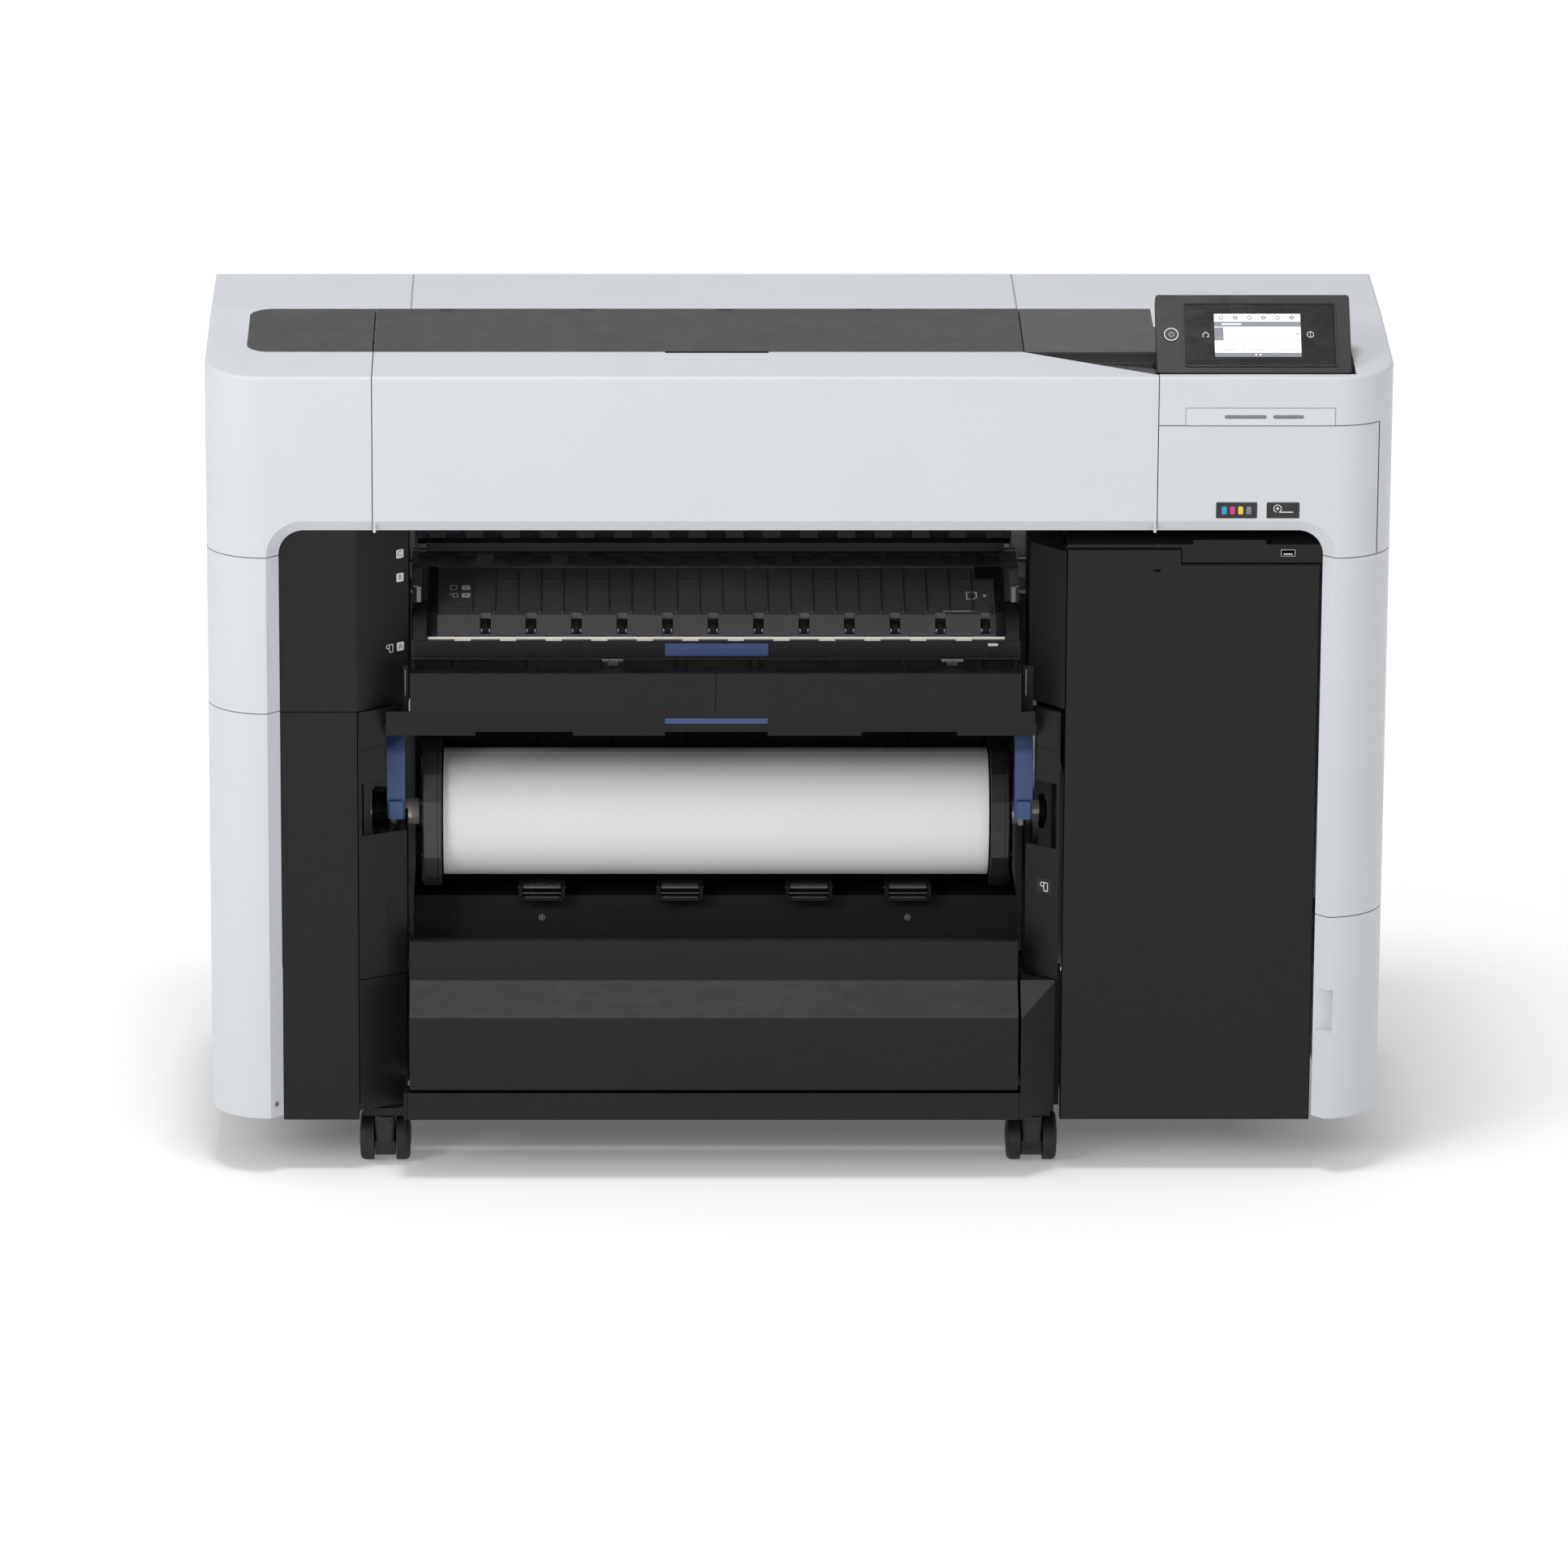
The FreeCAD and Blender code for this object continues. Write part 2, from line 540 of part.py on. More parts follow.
def make_columns():
    """Columns beside the roll: slanted inner faces, a notch for the spindle, a stepped top."""
    left = hollow_prism(
        "left_column", "XY",
        [("fascia_bend + seam", "deck"), ("column_left", "column_front"), ("column_left", "column_back"),
         ("fascia_bend + seam", "column_back")],
        [("fascia_bend + seam + plastic", "deck + 5"), ("column_left - plastic", "column_front + 1.6"),
         ("column_left - plastic", "column_back + 5"), ("fascia_bend + seam + plastic", "column_back + 5")],
        "column_base + seam", "column_top", "column_base + 4", "column_top - plastic")
    left_notch = box("left_notch", ("fascia_bend + 5", "column_left + 5"), ("deck - 5", "column_back + 5"),
                     ("notch_base", "notch_top"))
    left_step = box("left_step", ("step_left", "column_left + 5"), ("deck - 5", "column_back + 5"),
                    ("notch_top - 1", "column_top - 18"))
    left_lid = box("left_lid_gap", ("step_left", "column_left + 5"), ("column_front + 3", "column_back + 5"),
                   ("column_top - 19", "column_top + 5"))
    sub_part("left_inner_column", cut("left_column_cut", left, [left_notch, left_step, left_lid]))
    right = hollow_prism(
        "right_column", "XY",
        [("right_bend - 4", "deck"), ("column_right", "column_front"), ("column_right", "column_back"),
         ("right_bend - 4", "column_back")],
        [("right_bend - 4 - plastic", "deck + 6"), ("column_right + plastic", "column_front + 1.8"),
         ("column_right + plastic", "column_back + 5"), ("right_bend - 4 - plastic", "column_back + 5")],
        "column_base + seam", "column_top", "column_base + 4", "column_top - plastic")
    right_notch = box("right_notch", ("column_right - 5", "right_bend - 4 - 3"),
                      ("deck - 5", "column_back + 5"), ("375", "notch_top"))
    right_step = box("right_step", ("column_right - 5", "step_right"), ("deck - 5", "column_back + 5"),
                     ("notch_top - 1", "column_top - 18"))
    right_lid = box("right_lid_gap", ("column_right - 5", "step_right"),
                    ("column_front + 3", "column_back + 5"), ("column_top - 19", "column_top + 5"))
    sub_part("right_inner_column", cut("right_column_cut", right, [right_notch, right_step, right_lid]))


def make_left_cabinet():
    """Tall narrow cover left of the roll, open at its back."""
    left = hollow_prism(
        "left_cabinet", "XY",
        rectangle("mouth_left + fit", "fascia_bend", "deck", "column_back"),
        rectangle("mouth_left + fit + plastic", "fascia_bend - plastic", "deck + plastic", "column_back + 5"),
        "cabinet_bottom", "fascia_bottom - seam", "cabinet_bottom - 5", "fascia_bottom - seam - plastic")
    sub_part("left_cabinet_cover", left)


def make_ink_door():
    """Large hinged door over the ink cartridges, stepped down at the right for the shelf."""
    outline = [("ink_left", "cabinet_bottom"), ("ink_left", "ink_high"), ("ink_step", "ink_high"),
               ("ink_step", "ink_low"), ("ink_right", "ink_low"), ("ink_right", "cabinet_bottom")]
    inside = [("ink_left + plastic", "cabinet_bottom + plastic"),
              ("ink_left + plastic", "ink_high - plastic"),
              ("ink_step - plastic", "ink_high - plastic"), ("ink_step - plastic", "ink_low - plastic"),
              ("ink_right - plastic", "ink_low - plastic"),
              ("ink_right - plastic", "cabinet_bottom + plastic")]
    leaf = prism("door_leaf", "XZ", outline, "deck", "deck + door_thick")
    leaf_soft = round_edges("door_soft", leaf, "2",
                            [("ink_left", "deck", "400"), ("400", "deck", "cabinet_bottom"),
                             ("ink_right", "deck", "400"), ("500", "deck", "ink_low"),
                             ("350", "deck", "ink_high")])
    pocket = prism("door_pocket", "XZ", inside, "deck + plastic", "deck + door_thick + 5")
    lamp_slot = box("lamp_slot", ("391", "399"), ("deck - 5", "deck + 5"), ("694.5", "697"))
    sub_part("ink_door", cut("door_cut", leaf_soft, [pocket, lamp_slot]))


def make_usb_shelf():
    """Ledge above the ink door with a raised block and a socket for a memory stick."""
    outline = [("right_bend + seam", "ink_high + seam"), ("ink_step + seam", "ink_high + seam"),
               ("ink_step + seam", "ink_low + seam"), ("mouth_right - fit", "ink_low + seam"),
               ("mouth_right - fit", "mouth_top - fit"), ("right_bend + seam", "mouth_top - fit")]
    shelf = prism("shelf_block", "XZ", outline, "deck + 2", "deck + 80")
    shelf_soft = round_edges("shelf_soft", shelf, "mouth_round",
                             [("mouth_right - fit", "-240", "mouth_top - fit")])
    slope = prism("shelf_slope", "YZ", [("deck", "mouth_top - 18"), ("deck + 42", "mouth_top + 1"),
                                        ("deck", "mouth_top + 1")], "right_bend", "mouth_right")
    keep = box("shelf_bump", ("434", "515"), ("deck", "deck + 30"), ("ink_low", "mouth_top - 12"))
    slope_cut = cut("shelf_slope_cut", slope, [keep])
    socket = box("usb_socket", ("531", "547"), ("deck", "deck + 22"), ("711", "719"))
    hollow = box("shelf_hollow", ("right_bend + 8", "mouth_right - 30"), ("deck + 50", "deck + 85"),
                 ("ink_high + 4", "mouth_top - 4"))
    sub_part("usb_shelf", cut("shelf_cut", shelf_soft, [slope_cut, socket, hollow]))


# ---------------------------------------------------------------- lower front

def make_lower_frame():
    """Lower surround: a slanted left post, a bevelled right post and the toe panel between them."""
    left_post = hollow_prism(
        "left_post", "XY",
        [("fascia_bend + seam", "deck"), ("column_left - seam", "column_front"),
         ("column_left - seam", "column_back"), ("fascia_bend + seam", "column_back")],
        [("fascia_bend + seam + plastic", "deck + 5"), ("column_left - seam - plastic", "column_front + 1.6"),
         ("column_left - seam - plastic", "column_back + 5"),
         ("fascia_bend + seam + plastic", "column_back + 5")],
        "toe_base", "column_base", "toe_base - 5", "column_base - plastic")
    cheek = box("toe_cheek", ("column_left - seam - plastic", "column_left - seam"),
                ("bump + 1", "column_front + 5"), ("toe_base", "toe_top"))
    low, high = "bin_right + 3", "right_bend - 6"
    profile = prism("right_post_profile", "YZ",
                    [("column_back", "column_base"), ("deck + 2", "column_base"), ("bump", "bevel_base - 2"),
                     ("bump", "toe_base"), ("column_back", "toe_base")], low, high)
    plan = prism("right_post_plan", "XY",
                 [(low, "bump"), (high, "deck + 1"), (high, "column_back"), (low, "column_back")],
                 "toe_base - 5", "column_base + 5")
    core_profile = prism("right_core_profile", "YZ",
                         [("column_back + 5", "column_base - plastic"), ("deck + 3", "column_base - plastic"),
                          ("bump + plastic", "bevel_base - 4"), ("bump + plastic", "toe_base - 5"),
                          ("column_back + 5", "toe_base - 5")], f"{low} + plastic", f"{high} - plastic")
    core_plan = prism("right_core_plan", "XY",
                      [(low, "bump + 6"), (high, "deck + 7"), (high, "column_back + 5"),
                       (low, "column_back + 5")],
                      "toe_base - 5", "column_base + 5")
    right_post = cut("right_post", common("right_post_form", profile, plan),
                     [common("right_post_core", core_profile, core_plan)])
    posts = [left_post, cheek, right_post]
    toe = prism("toe_panel", "YZ", [("bump", "toe_base"), ("bump", "toe_top"), ("bump + 30", "toe_top"),
                                    ("bump + 30", "toe_top - plastic"),
                                    ("bump + plastic", "toe_top - plastic"),
                                    ("bump + plastic", "toe_base")],
                "column_left - seam - plastic/2", "bin_right + 3 + plastic/2")
    groove = [box(f"toe_groove_{index}", (f"{x} - 0.5", f"{x} + 0.5"), ("bump - 1", "bump + 1"),
                  ("toe_base - 1", "toe_top + 1"))
              for index, x in enumerate(("column_left", "bin_right + 2"))]
    filler_depth = ("deck + door_thick + 3", "deck + door_thick + 6")
    fillers = [box("door_gap_low", ("right_bend - 9", "ink_left - 0.5"), filler_depth,
                   ("toe_base", "column_base - 1")),
               box("door_gap_high", ("right_bend - 3.5", "ink_left - 0.5"), filler_depth,
                   ("column_base - 20", "column_base + 13"))]
    sub_part("lower_front_frame",
             cut("lower_frame_cut", fuse("lower_frame_fuse", posts + [toe] + fillers), groove))


def make_catch_bin():
    """Tilting print basket: bevelled front, short floor and low side walls."""
    wall_shape = prism("bin_front", "YZ",
                       [("bump", "bin_base"), ("bump", "bevel_base"), ("deck + 1", "bevel_top"),
                        ("deck + 1", "bin_top"), ("deck + 14", "bin_top"), ("deck + 14", "bin_top - plastic"),
                        ("deck + 4", "bin_top - plastic"), ("deck + 4", "bevel_top - 1.5"),
                        ("bump + plastic", "bevel_base - 1.5"), ("bump + plastic", "bin_base + plastic"),
                        ("bump + 90", "bin_base + plastic + 6"), ("bump + 90", "bin_base + 6")],
                       "bin_left", "bin_right")
    ends = []
    for side, low, high in (("left", "bin_left", "bin_left + plastic"),
                            ("right", "bin_right - plastic", "bin_right")):
        ends.append(prism(f"bin_end_{side}", "YZ",
                          [("bump + 1", "bin_base + 1"), ("bump + 1", "bevel_base"),
                           ("deck + 2", "bevel_top"),
                           ("deck + 2", "bin_top - 1"), ("deck + 12", "bin_top - 1"),
                           ("bump + 89", "bin_base + 60"),
                           ("bump + 89", "bin_base + 8")], low, high))
    sub_part("catch_bin", fuse("bin_fuse", [wall_shape] + ends))


def make_bay_liner():
    """Dark liner behind and below the roll: back wall with ribs and a sloping tray."""
    back = box("liner_back", ("column_left + 6", "column_right - 6"), ("-40", "-36"), ("130", "574"))
    tray = prism("liner_tray", "YZ", [("-205", "128"), ("-205", "132"), ("-155", "tray_top - 12"),
                                      ("-150", "tray_top"), ("-40", "tray_top"), ("-40", "tray_top - 4"),
                                      ("-146", "tray_top - 4"), ("-151", "tray_top - 13")],
                 "column_left + 6", "column_right - 6")
    ribs = row_of(lambda name, x: box(name, (x, f"{x} + 9"), ("-46", "-39"), ("tray_top + 8", "570")),
                  "liner_rib", "column_left + 50", "84", 8)
    sub_part("bay_liner", fuse("liner_fuse", [back, tray] + ribs))


# ---------------------------------------------------------------- ink system

def make_ink_system():
    """Cartridge bay with six pockets, the cartridges in it and the waste ink tank."""
    block = box("bay_block", ("300", "562"), ("-236", "-20"), ("430", "560"))
    pockets = []
    cartridges = []
    for index in range(6):
        low = f"306 + {index}*42.5"
        pockets.append(box(f"bay_pocket_{index}", (low, f"{low} + 38"), ("-240", "-28"), ("436", "552")))
        shell_box = box(f"cartridge_{index}_body", (f"{low} + 0.5", f"{low} + 37.5"), ("-238", "-40"),
                        ("436.5", "548"))
        grip = box(f"cartridge_{index}_grip", (f"{low} + 9", f"{low} + 29"), ("-239", "-232"), ("500", "524"))
        cartridges.append(cut(f"cartridge_{index}", shell_box, [grip]))
    sub_part("cartridge_bay", cut("bay_cut", block, pockets))
    group = doc.addObject("Part::Compound", "cartridge_group")
    group.Links = cartridges
    sub_part("ink_cartridges", group)
    tank = box("tank_block", ("586", "640"), ("-205", "-72"), ("92", "262"))
    tank_soft = round_edges("tank_soft", tank, "5", [("600", "-205", "262"), ("600", "-205", "92")])
    handle = box("tank_handle", ("600", "626"), ("-210", "-195"), ("170", "210"))
    sub_part("maintenance_tank", cut("tank_cut", tank_soft, [handle]))


# ---------------------------------------------------------------- print engine

def make_engine():
    """Platen, feed and pinch rollers, exit star wheels, rail, carriage, belt and pulleys."""
    platen = box("platen_bed", ("engine_left", "engine_right"), ("-78", "-12"), ("628", "platen_top"))
    holes = row_of(
        lambda name, x: box(name, (x, f"{x} + 22"), ("-66", "-24"), ("platen_top - 3", "platen_top + 1")),
        "platen_hole", "engine_left + 8", "42", 16)
    sub_part("platen", cut("platen_cut", platen, holes))

    feed_height = "platen_top - feed_radius"
    tube = rod("feed_tube", "X", ("engine_left", "feed_depth", feed_height), "engine_right - engine_left",
               "feed_radius")
    shaft = rod("feed_shaft", "X", ("side_left", "feed_depth", feed_height), "side_right - side_left", "5")
    sub_part("feed_roller", fuse("feed_fuse", [tube, shaft]))
    height = "platen_top + pinch_radius + fit"
    axle = rod("pinch_axle", "X", ("engine_left + 6", "feed_depth", height),
               "engine_right - engine_left - 12", "3")
    tyres = row_of(lambda name, x: rod(name, "X", (x, "feed_depth", height), "40", "pinch_radius"),
                   "pinch_tyre", "engine_left + 20", "85", 8)
    sub_part("pinch_rollers", fuse("pinch_fuse", [axle] + tyres))

    bar = prism("star_bar", "YZ",
                [("-106", "686"), ("-106", "676"), ("-96", "672"), ("-82", "672"), ("-82", "690"),
                 ("-100", "690")], "guide_left + 14", "guide_right - 14")
    housings = row_of(lambda name, x: box(name, (x, f"{x} + 20"), ("-100", "-84"), ("688", "702")),
                      "star_housing", "guide_left + 16", "41.6", 16)
    wheels = row_of(lambda name, x: rod(name, "X", (x, "-91", "697"), "3", "9"),
                    "star_wheel", "guide_left + 25", "41.6", 16)
    sub_part("star_wheel_bar", fuse("star_fuse", [bar] + housings + wheels))

    rail = prism("rail_profile", "YZ",
                 [("rail_front", "690"), ("rail_front", "730"), ("rail_front + 12", "730"),
                  ("rail_front + 12", "826"), ("rail_front + 40", "826"), ("rail_front + 40", "822"),
                  ("rail_front + 16", "822"), ("rail_front + 16", "694"), ("rail_front + 40", "694"),
                  ("rail_front + 40", "690")], "-470", "470")
    sub_part("carriage_rail", rail)

    body = box("carriage_body", ("carriage_left", "carriage_right"), ("-70", "rail_front - 1"),
               ("carriage_base + 18", "carriage_top"))
    body_soft = round_edges("carriage_soft", body, "10", [("345", "-70", "carriage_top"),
                                                          ("carriage_left", "-70", "760"),
                                                          ("carriage_right", "-70", "760")])
    head = box("print_head", ("carriage_left + 12", "carriage_right - 12"), ("-60", "-20"),
               ("carriage_base", "carriage_base + 20"))
    clip = box("belt_clip", ("carriage_left + 20", "carriage_right - 20"),
               ("belt_depth - 3", "belt_depth + 11"),
               ("carriage_top - 2", "belt_height - pulley_radius - 3"))
    sub_part("print_carriage", fuse("carriage_fuse", [body_soft, head, clip]))

    radius = "pulley_radius + fit"
    loops = []
    for kind, grow in (("outside", "1.5"), ("inside", "0")):
        ends = [rod(f"belt_{kind}_{end}", "Y", (x, "belt_depth", "belt_height"), "belt_width",
                    f"{radius} + {grow}")
                for end, x in (("drive", "drive_place"), ("idler", "idler_place"))]
        span = box(f"belt_{kind}_span", ("idler_place", "drive_place"),
                   ("belt_depth", "belt_depth + belt_width"),
                   (f"belt_height - {radius} - {grow}", f"belt_height + {radius} + {grow}"))
        loops.append(fuse(f"belt_{kind}", ends + [span]))
    sub_part("carriage_belt", cut("belt_cut", loops[0], [loops[1]]))
    for label, x in (("drive_pulley", "drive_place"), ("idler_pulley", "idler_place")):
        wheel = rod(label + "_wheel", "Y", (x, "belt_depth - 2", "belt_height"), "belt_width + 4",
                    "pulley_radius")
        shaft = rod(label + "_shaft", "Y", (x, "belt_depth + belt_width", "belt_height"), "26", "4")
        sub_part(label, fuse(label + "_fuse", [wheel, shaft]))


# ---------------------------------------------------------------- paper guide and roll cover

def make_paper_guide():
    """Swinging exit guide: ribbed slope with roller windows and a front bar."""
    slope = prism("guide_slope", "YZ",
                  [("-100", "655"), ("-200", "628"), ("-217", "606"), ("-223", "604"), ("-223", "583"),
                   ("-219", "583"), ("-219", "598"), ("-213", "600"), ("-197", "622"), ("-100", "649")],
                  "guide_left", "guide_right")
    arms = []
    for side, low, high in (("left", "guide_left", "guide_left + 10"),
                            ("right", "guide_right - 10", "guide_right")):
        arms.append(prism(f"guide_arm_{side}", "YZ",
                          [("-205", "630"), ("-160", "668"), ("-125", "660"), ("-100", "655"), ("-86", "648"),
                           ("-84", "640"), ("-88", "633"), ("-100", "634"), ("-150", "620"), ("-198", "600"),
                           ("-222", "590"), ("-222", "603")], low, high))
    windows = row_of(lambda name, x: box(name, (f"{x} - 6", f"{x} + 6"), ("-214", "-196"), ("600", "645")),
                     "guide_window", "window_start", "window_pitch", 12)
    slots = row_of(lambda name, x: box(name, (f"{x} - 9", f"{x} + 9"), ("-224", "-214"), ("601", "612")),
                   "guide_slot", "window_start - window_pitch/2", "window_pitch", 12)
    ribs = row_of(lambda name, x: prism(name, "YZ", [("-104", "654"), ("-104", "655.5"), ("-196", "630.7"),
                                                     ("-196", "629")], x, f"{x} + 1.5"),
                  "guide_rib", "window_start - 16", "window_pitch/2", 24)
    cut_slope = cut("guide_cut", slope, windows + slots)
    sub_part("paper_guide", fuse("guide_fuse", [cut_slope] + arms + ribs))


def make_roll_cover():
    """Cover above the roll, hinged along its top edge, with a wider slanting lip."""
    face = prism("roll_cover_face", "YZ",
                 [("deck", "578"), ("-245", "578"), ("-245", "575"), ("deck + plastic", "575"),
                  ("deck + plastic", "534"), ("deck", "534")], "throat_left + 2", "bin_right")
    lip = prism("roll_cover_lip", "YZ",
                [("deck", "534"), ("deck + 13", "503"), ("deck + 13 + plastic", "503.8"),
                 ("deck + plastic + 0.2", "534")], "-456", "263")
    notches = [box(f"lip_notch_{index}", (low, high), ("deck - 5", "deck + 30"), ("500", "508"))
               for index,
               (low, high) in enumerate((("-357", "-249"), ("grip_left", "grip_right"), ("71", "177")))]
    groove = box("roll_cover_groove", ("-91.5", "-90.5"), ("deck - 1", "deck + 1"), ("533", "580"))
    sub_part("roll_cover", cut("roll_cover_cut", fuse("roll_cover_fuse", [face, lip]), notches + [groove]))


# ---------------------------------------------------------------- roll

def ring(name, start, length, radius, bore):
    """A tube on the roll axis."""
    outer = rod(name + "_outer", "X", (start, "roll_depth", "roll_height"), length, radius)
    inner = rod(name + "_bore", "X", (f"{start} - 1", "roll_depth", "roll_height"), f"{length} + 2", bore)
    return cut(name, outer, [inner])


def make_roll():
    """Paper roll between two flanges on a steel spindle, held by saddles and blue lock levers."""
    sub_part("paper_roll", ring("paper", "roll_left", "roll_right - roll_left", "roll_radius", "core_radius"))
    hub = "core_radius - fit"
    for label, disc, plug in (("left_flange", "roll_left - 2 - flange_thick", "roll_left - 2.5"),
                              ("right_flange", "roll_right + 2", "roll_right - 30")):
        plate = rod(label + "_disc", "X", (disc, "roll_depth", "roll_height"), "flange_thick",
                    "flange_radius")
        plate_soft = round_edges(label + "_soft", plate, "3",
                                 [(disc, "roll_depth", "roll_height + flange_radius"),
                                  (f"{disc} + flange_thick", "roll_depth", "roll_height + flange_radius")])
        nose = rod(label + "_hub", "X", (plug, "roll_depth", "roll_height"), "32.5", hub)
        body = fuse(label + "_solid", [plate_soft, nose])
        bore = rod(label + "_bore", "X", (f"{disc} - 60", "roll_depth", "roll_height"), "160",
                   "spindle_radius")
        sub_part(label, cut(label + "_cut", body, [bore]))
    shaft = rod("spindle_shaft", "X", ("spindle_left + 20", "roll_depth", "roll_height"),
                "spindle_right - spindle_left - 20", "spindle_radius")
    knob = rod("spindle_knob", "X", ("spindle_left", "roll_depth", "roll_height"), "22", "24")
    collar = rod("spindle_collar", "X", ("spindle_left + 20", "roll_depth", "roll_height"), "5", "14")
    tabs = [box(f"spindle_tab_{index}", ("spindle_left + 4", "spindle_left + 18"),
                (f"roll_depth + {dy} - 4", f"roll_depth + {dy} + 4"),
                (f"roll_height + {dz} - 4", f"roll_height + {dz} + 4"))
            for index, (dy, dz) in enumerate(((0, 23), (0, -23), (23, 0), (-23, 0)))]
    sub_part("roll_spindle", fuse("spindle_fuse", [shaft, knob, collar] + tabs))

    for label, low, high in (("left_lock_lever", "-456", "-436"), ("right_lock_lever", "243", "263")):
        arm = prism(label + "_arm", "YZ",
                    [("lever_depth", "lever_height + 9"), ("-190", "508"), ("-222", "478"), ("-224", "424"),
                     ("-216", "397"),
                     ("-206", "397"), ("-210", "420"), ("-210", "470"), ("-184", "494"),
                     ("lever_depth", "lever_height - 9")],
                    low, high)
        arm_soft = round_edges(label + "_soft", arm, "14",
                               [("(%s + %s)/2" % (low, high), "-190", "508"),
                                ("(%s + %s)/2" % (low, high), "-222", "478")])
        eye = rod(label + "_eye", "X", (low, "lever_depth", "lever_height"), "20", "10")
        bore = rod(label + "_bore", "X", (f"{low} - 1", "lever_depth", "lever_height"), "22", "4 + running")
        sub_part(label, cut(label + "_cut", fuse(label + "_fuse", [arm_soft, eye]), [bore]))


def make_roll_supports():
    """Four small brackets under the roll, each carrying a short loading roller on its own axle."""
    brackets = []
    rollers = []
    for index, x in enumerate(("-284", "-129", "16", "127")):
        block = box(f"bracket_{index}_block", (f"{x} - 26", f"{x} + 26"),
                    ("loader_depth - 16", "loader_depth + 18"),
                    ("tray_top + 0.5", "loader_height + 5"))
        gap = box(f"bracket_{index}_gap", (f"{x} - 22", f"{x} + 22"),
                  ("loader_depth - 18", "loader_depth + 12"),
                  ("tray_top + 4", "loader_height + 10"))
        bore = rod(f"bracket_{index}_bore", "X", (f"{x} - 30", "loader_depth", "loader_height"), "60",
                   "1.5 + running")
        lip = rod(f"bracket_{index}_lip", "X", (f"{x} - 23", "loader_depth - 16", "tray_top"), "46", "3")
        brackets.append(cut(f"bracket_{index}", fuse(f"bracket_{index}_fuse", [
            cut(f"bracket_{index}_open", block, [gap]), lip]), [bore]))
        tyre = rod(f"loader_{index}_tyre", "X", (f"{x} - 21", "loader_depth", "loader_height"), "42",
                   "loader_radius")
        axle = rod(f"loader_{index}_axle", "X", (f"{x} - 27", "loader_depth", "loader_height"), "54", "1.5")
        rollers.append(fuse(f"loader_{index}", [tyre, axle]))
    for label, group in (("roller_brackets", brackets), ("support_rollers", rollers)):
        carrier = doc.addObject("Part::Compound", label + "_group")
        carrier.Links = group
        sub_part(label, carrier)


# ---------------------------------------------------------------- frame, electronics, casters

def make_frame():
    """Steel chassis: base plate, side plates, cross beams, spindle saddles and engine posts."""
    plate = [box("frame_plate", ("-552", "552"), ("-140", "284"), ("plate_base", "plate_base + 4")),
             box("frame_right", ("300", "552"), ("-240", "-130"), ("plate_base", "plate_base + 4")),
             box("frame_tongue_left", ("-483", "-439"), ("-250", "-130"), ("plate_base", "plate_base + 4")),
             box("frame_tongue_right", ("254", "284"), ("-250", "-130"), ("plate_base", "plate_base + 4"))]
    sides = [box("frame_side_left", ("side_left", "side_left + sheet"), ("side_front", "270"),
                 ("plate_base", "platen_top - 2")),
             box("frame_side_right", ("side_right - sheet", "side_right"), ("side_front", "270"),
                 ("plate_base", "platen_top - 2"))]
    beams = [box("frame_shelf", ("side_left", "side_right"), ("-70", "-12"), ("618", "622")),
             box("frame_rear_low", ("side_left", "side_right"), ("220", "260"), ("plate_base", "120")),
             box("frame_rear_high", ("side_left", "side_right"), ("100", "140"), ("580", "622")),
             box("frame_post_left", ("side_left", "-430"), ("100", "140"), ("600", "822")),
             box("frame_post_right", ("250", "side_right"), ("100", "140"), ("600", "822")),
             box("frame_beam", ("-470", "470"), ("rail_front + 40", "104"), ("696", "822")),
             box("frame_platen_seat", ("-420", "240"), ("-70", "-20"), ("620", "628"))]
    for end, x in (("drive", "drive_place"), ("idler", "idler_place")):
        beams.append(box(f"frame_bearing_{end}", (f"{x} - 8", f"{x} + 8"),
                         ("belt_depth + belt_width + 26", "104"),
                         ("830", "belt_height + 8")))
        beams.append(box(f"frame_stem_{end}", (f"{x} - 8", f"{x} + 8"), ("rail_front + 42", "104"),
                         ("800", "832")))
    saddles = []
    for side, low, high in (("left", "side_left", "side_left + 6"),
                            ("right", "side_right - 5", "side_right + 2")):
        block = box(f"saddle_{side}_block", (low, high), ("-160", "side_front + 1"), ("340", "roll_height"))
        groove = rod(f"saddle_{side}_groove", "X", (f"{low} - 1", "roll_depth", "roll_height"),
                     f"({high}) - ({low}) + 2",
                     "spindle_radius + running")
        saddles.append(cut(f"saddle_{side}", block, [groove]))
    ears = [box("ear_left", ("-435.5", "-431.5"), ("-127", "side_front + 6"), ("495", "511")),
            box("ear_left_root", ("side_left", "-431.5"), ("side_front", "side_front + 6"), ("495", "511")),
            box("ear_right", ("side_right - 5", "side_right"), ("-127", "side_front + 1"), ("495", "511"))]
    pins = [rod("lever_pin_left", "X", ("-458", "lever_depth", "lever_height"), "25", "4"),
            rod("lever_pin_right", "X", ("240", "lever_depth", "lever_height"), "30", "4")]
    solid = fuse("frame_fuse", plate + sides + beams + saddles + ears + pins)
    bearing = rod("feed_bearing", "X", ("side_left - 1", "feed_depth", "platen_top - feed_radius"),
                  "side_right - side_left + 2", "5 + running")
    sockets = [rod(f"stem_socket_{name}", "Z", (x, f"{y} - trail", "plate_base - 1"), "6",
                   "stem_radius + running")
               for name, x, y in CASTERS]
    sub_part("base_frame", cut("frame_cut", solid, [bearing] + sockets))


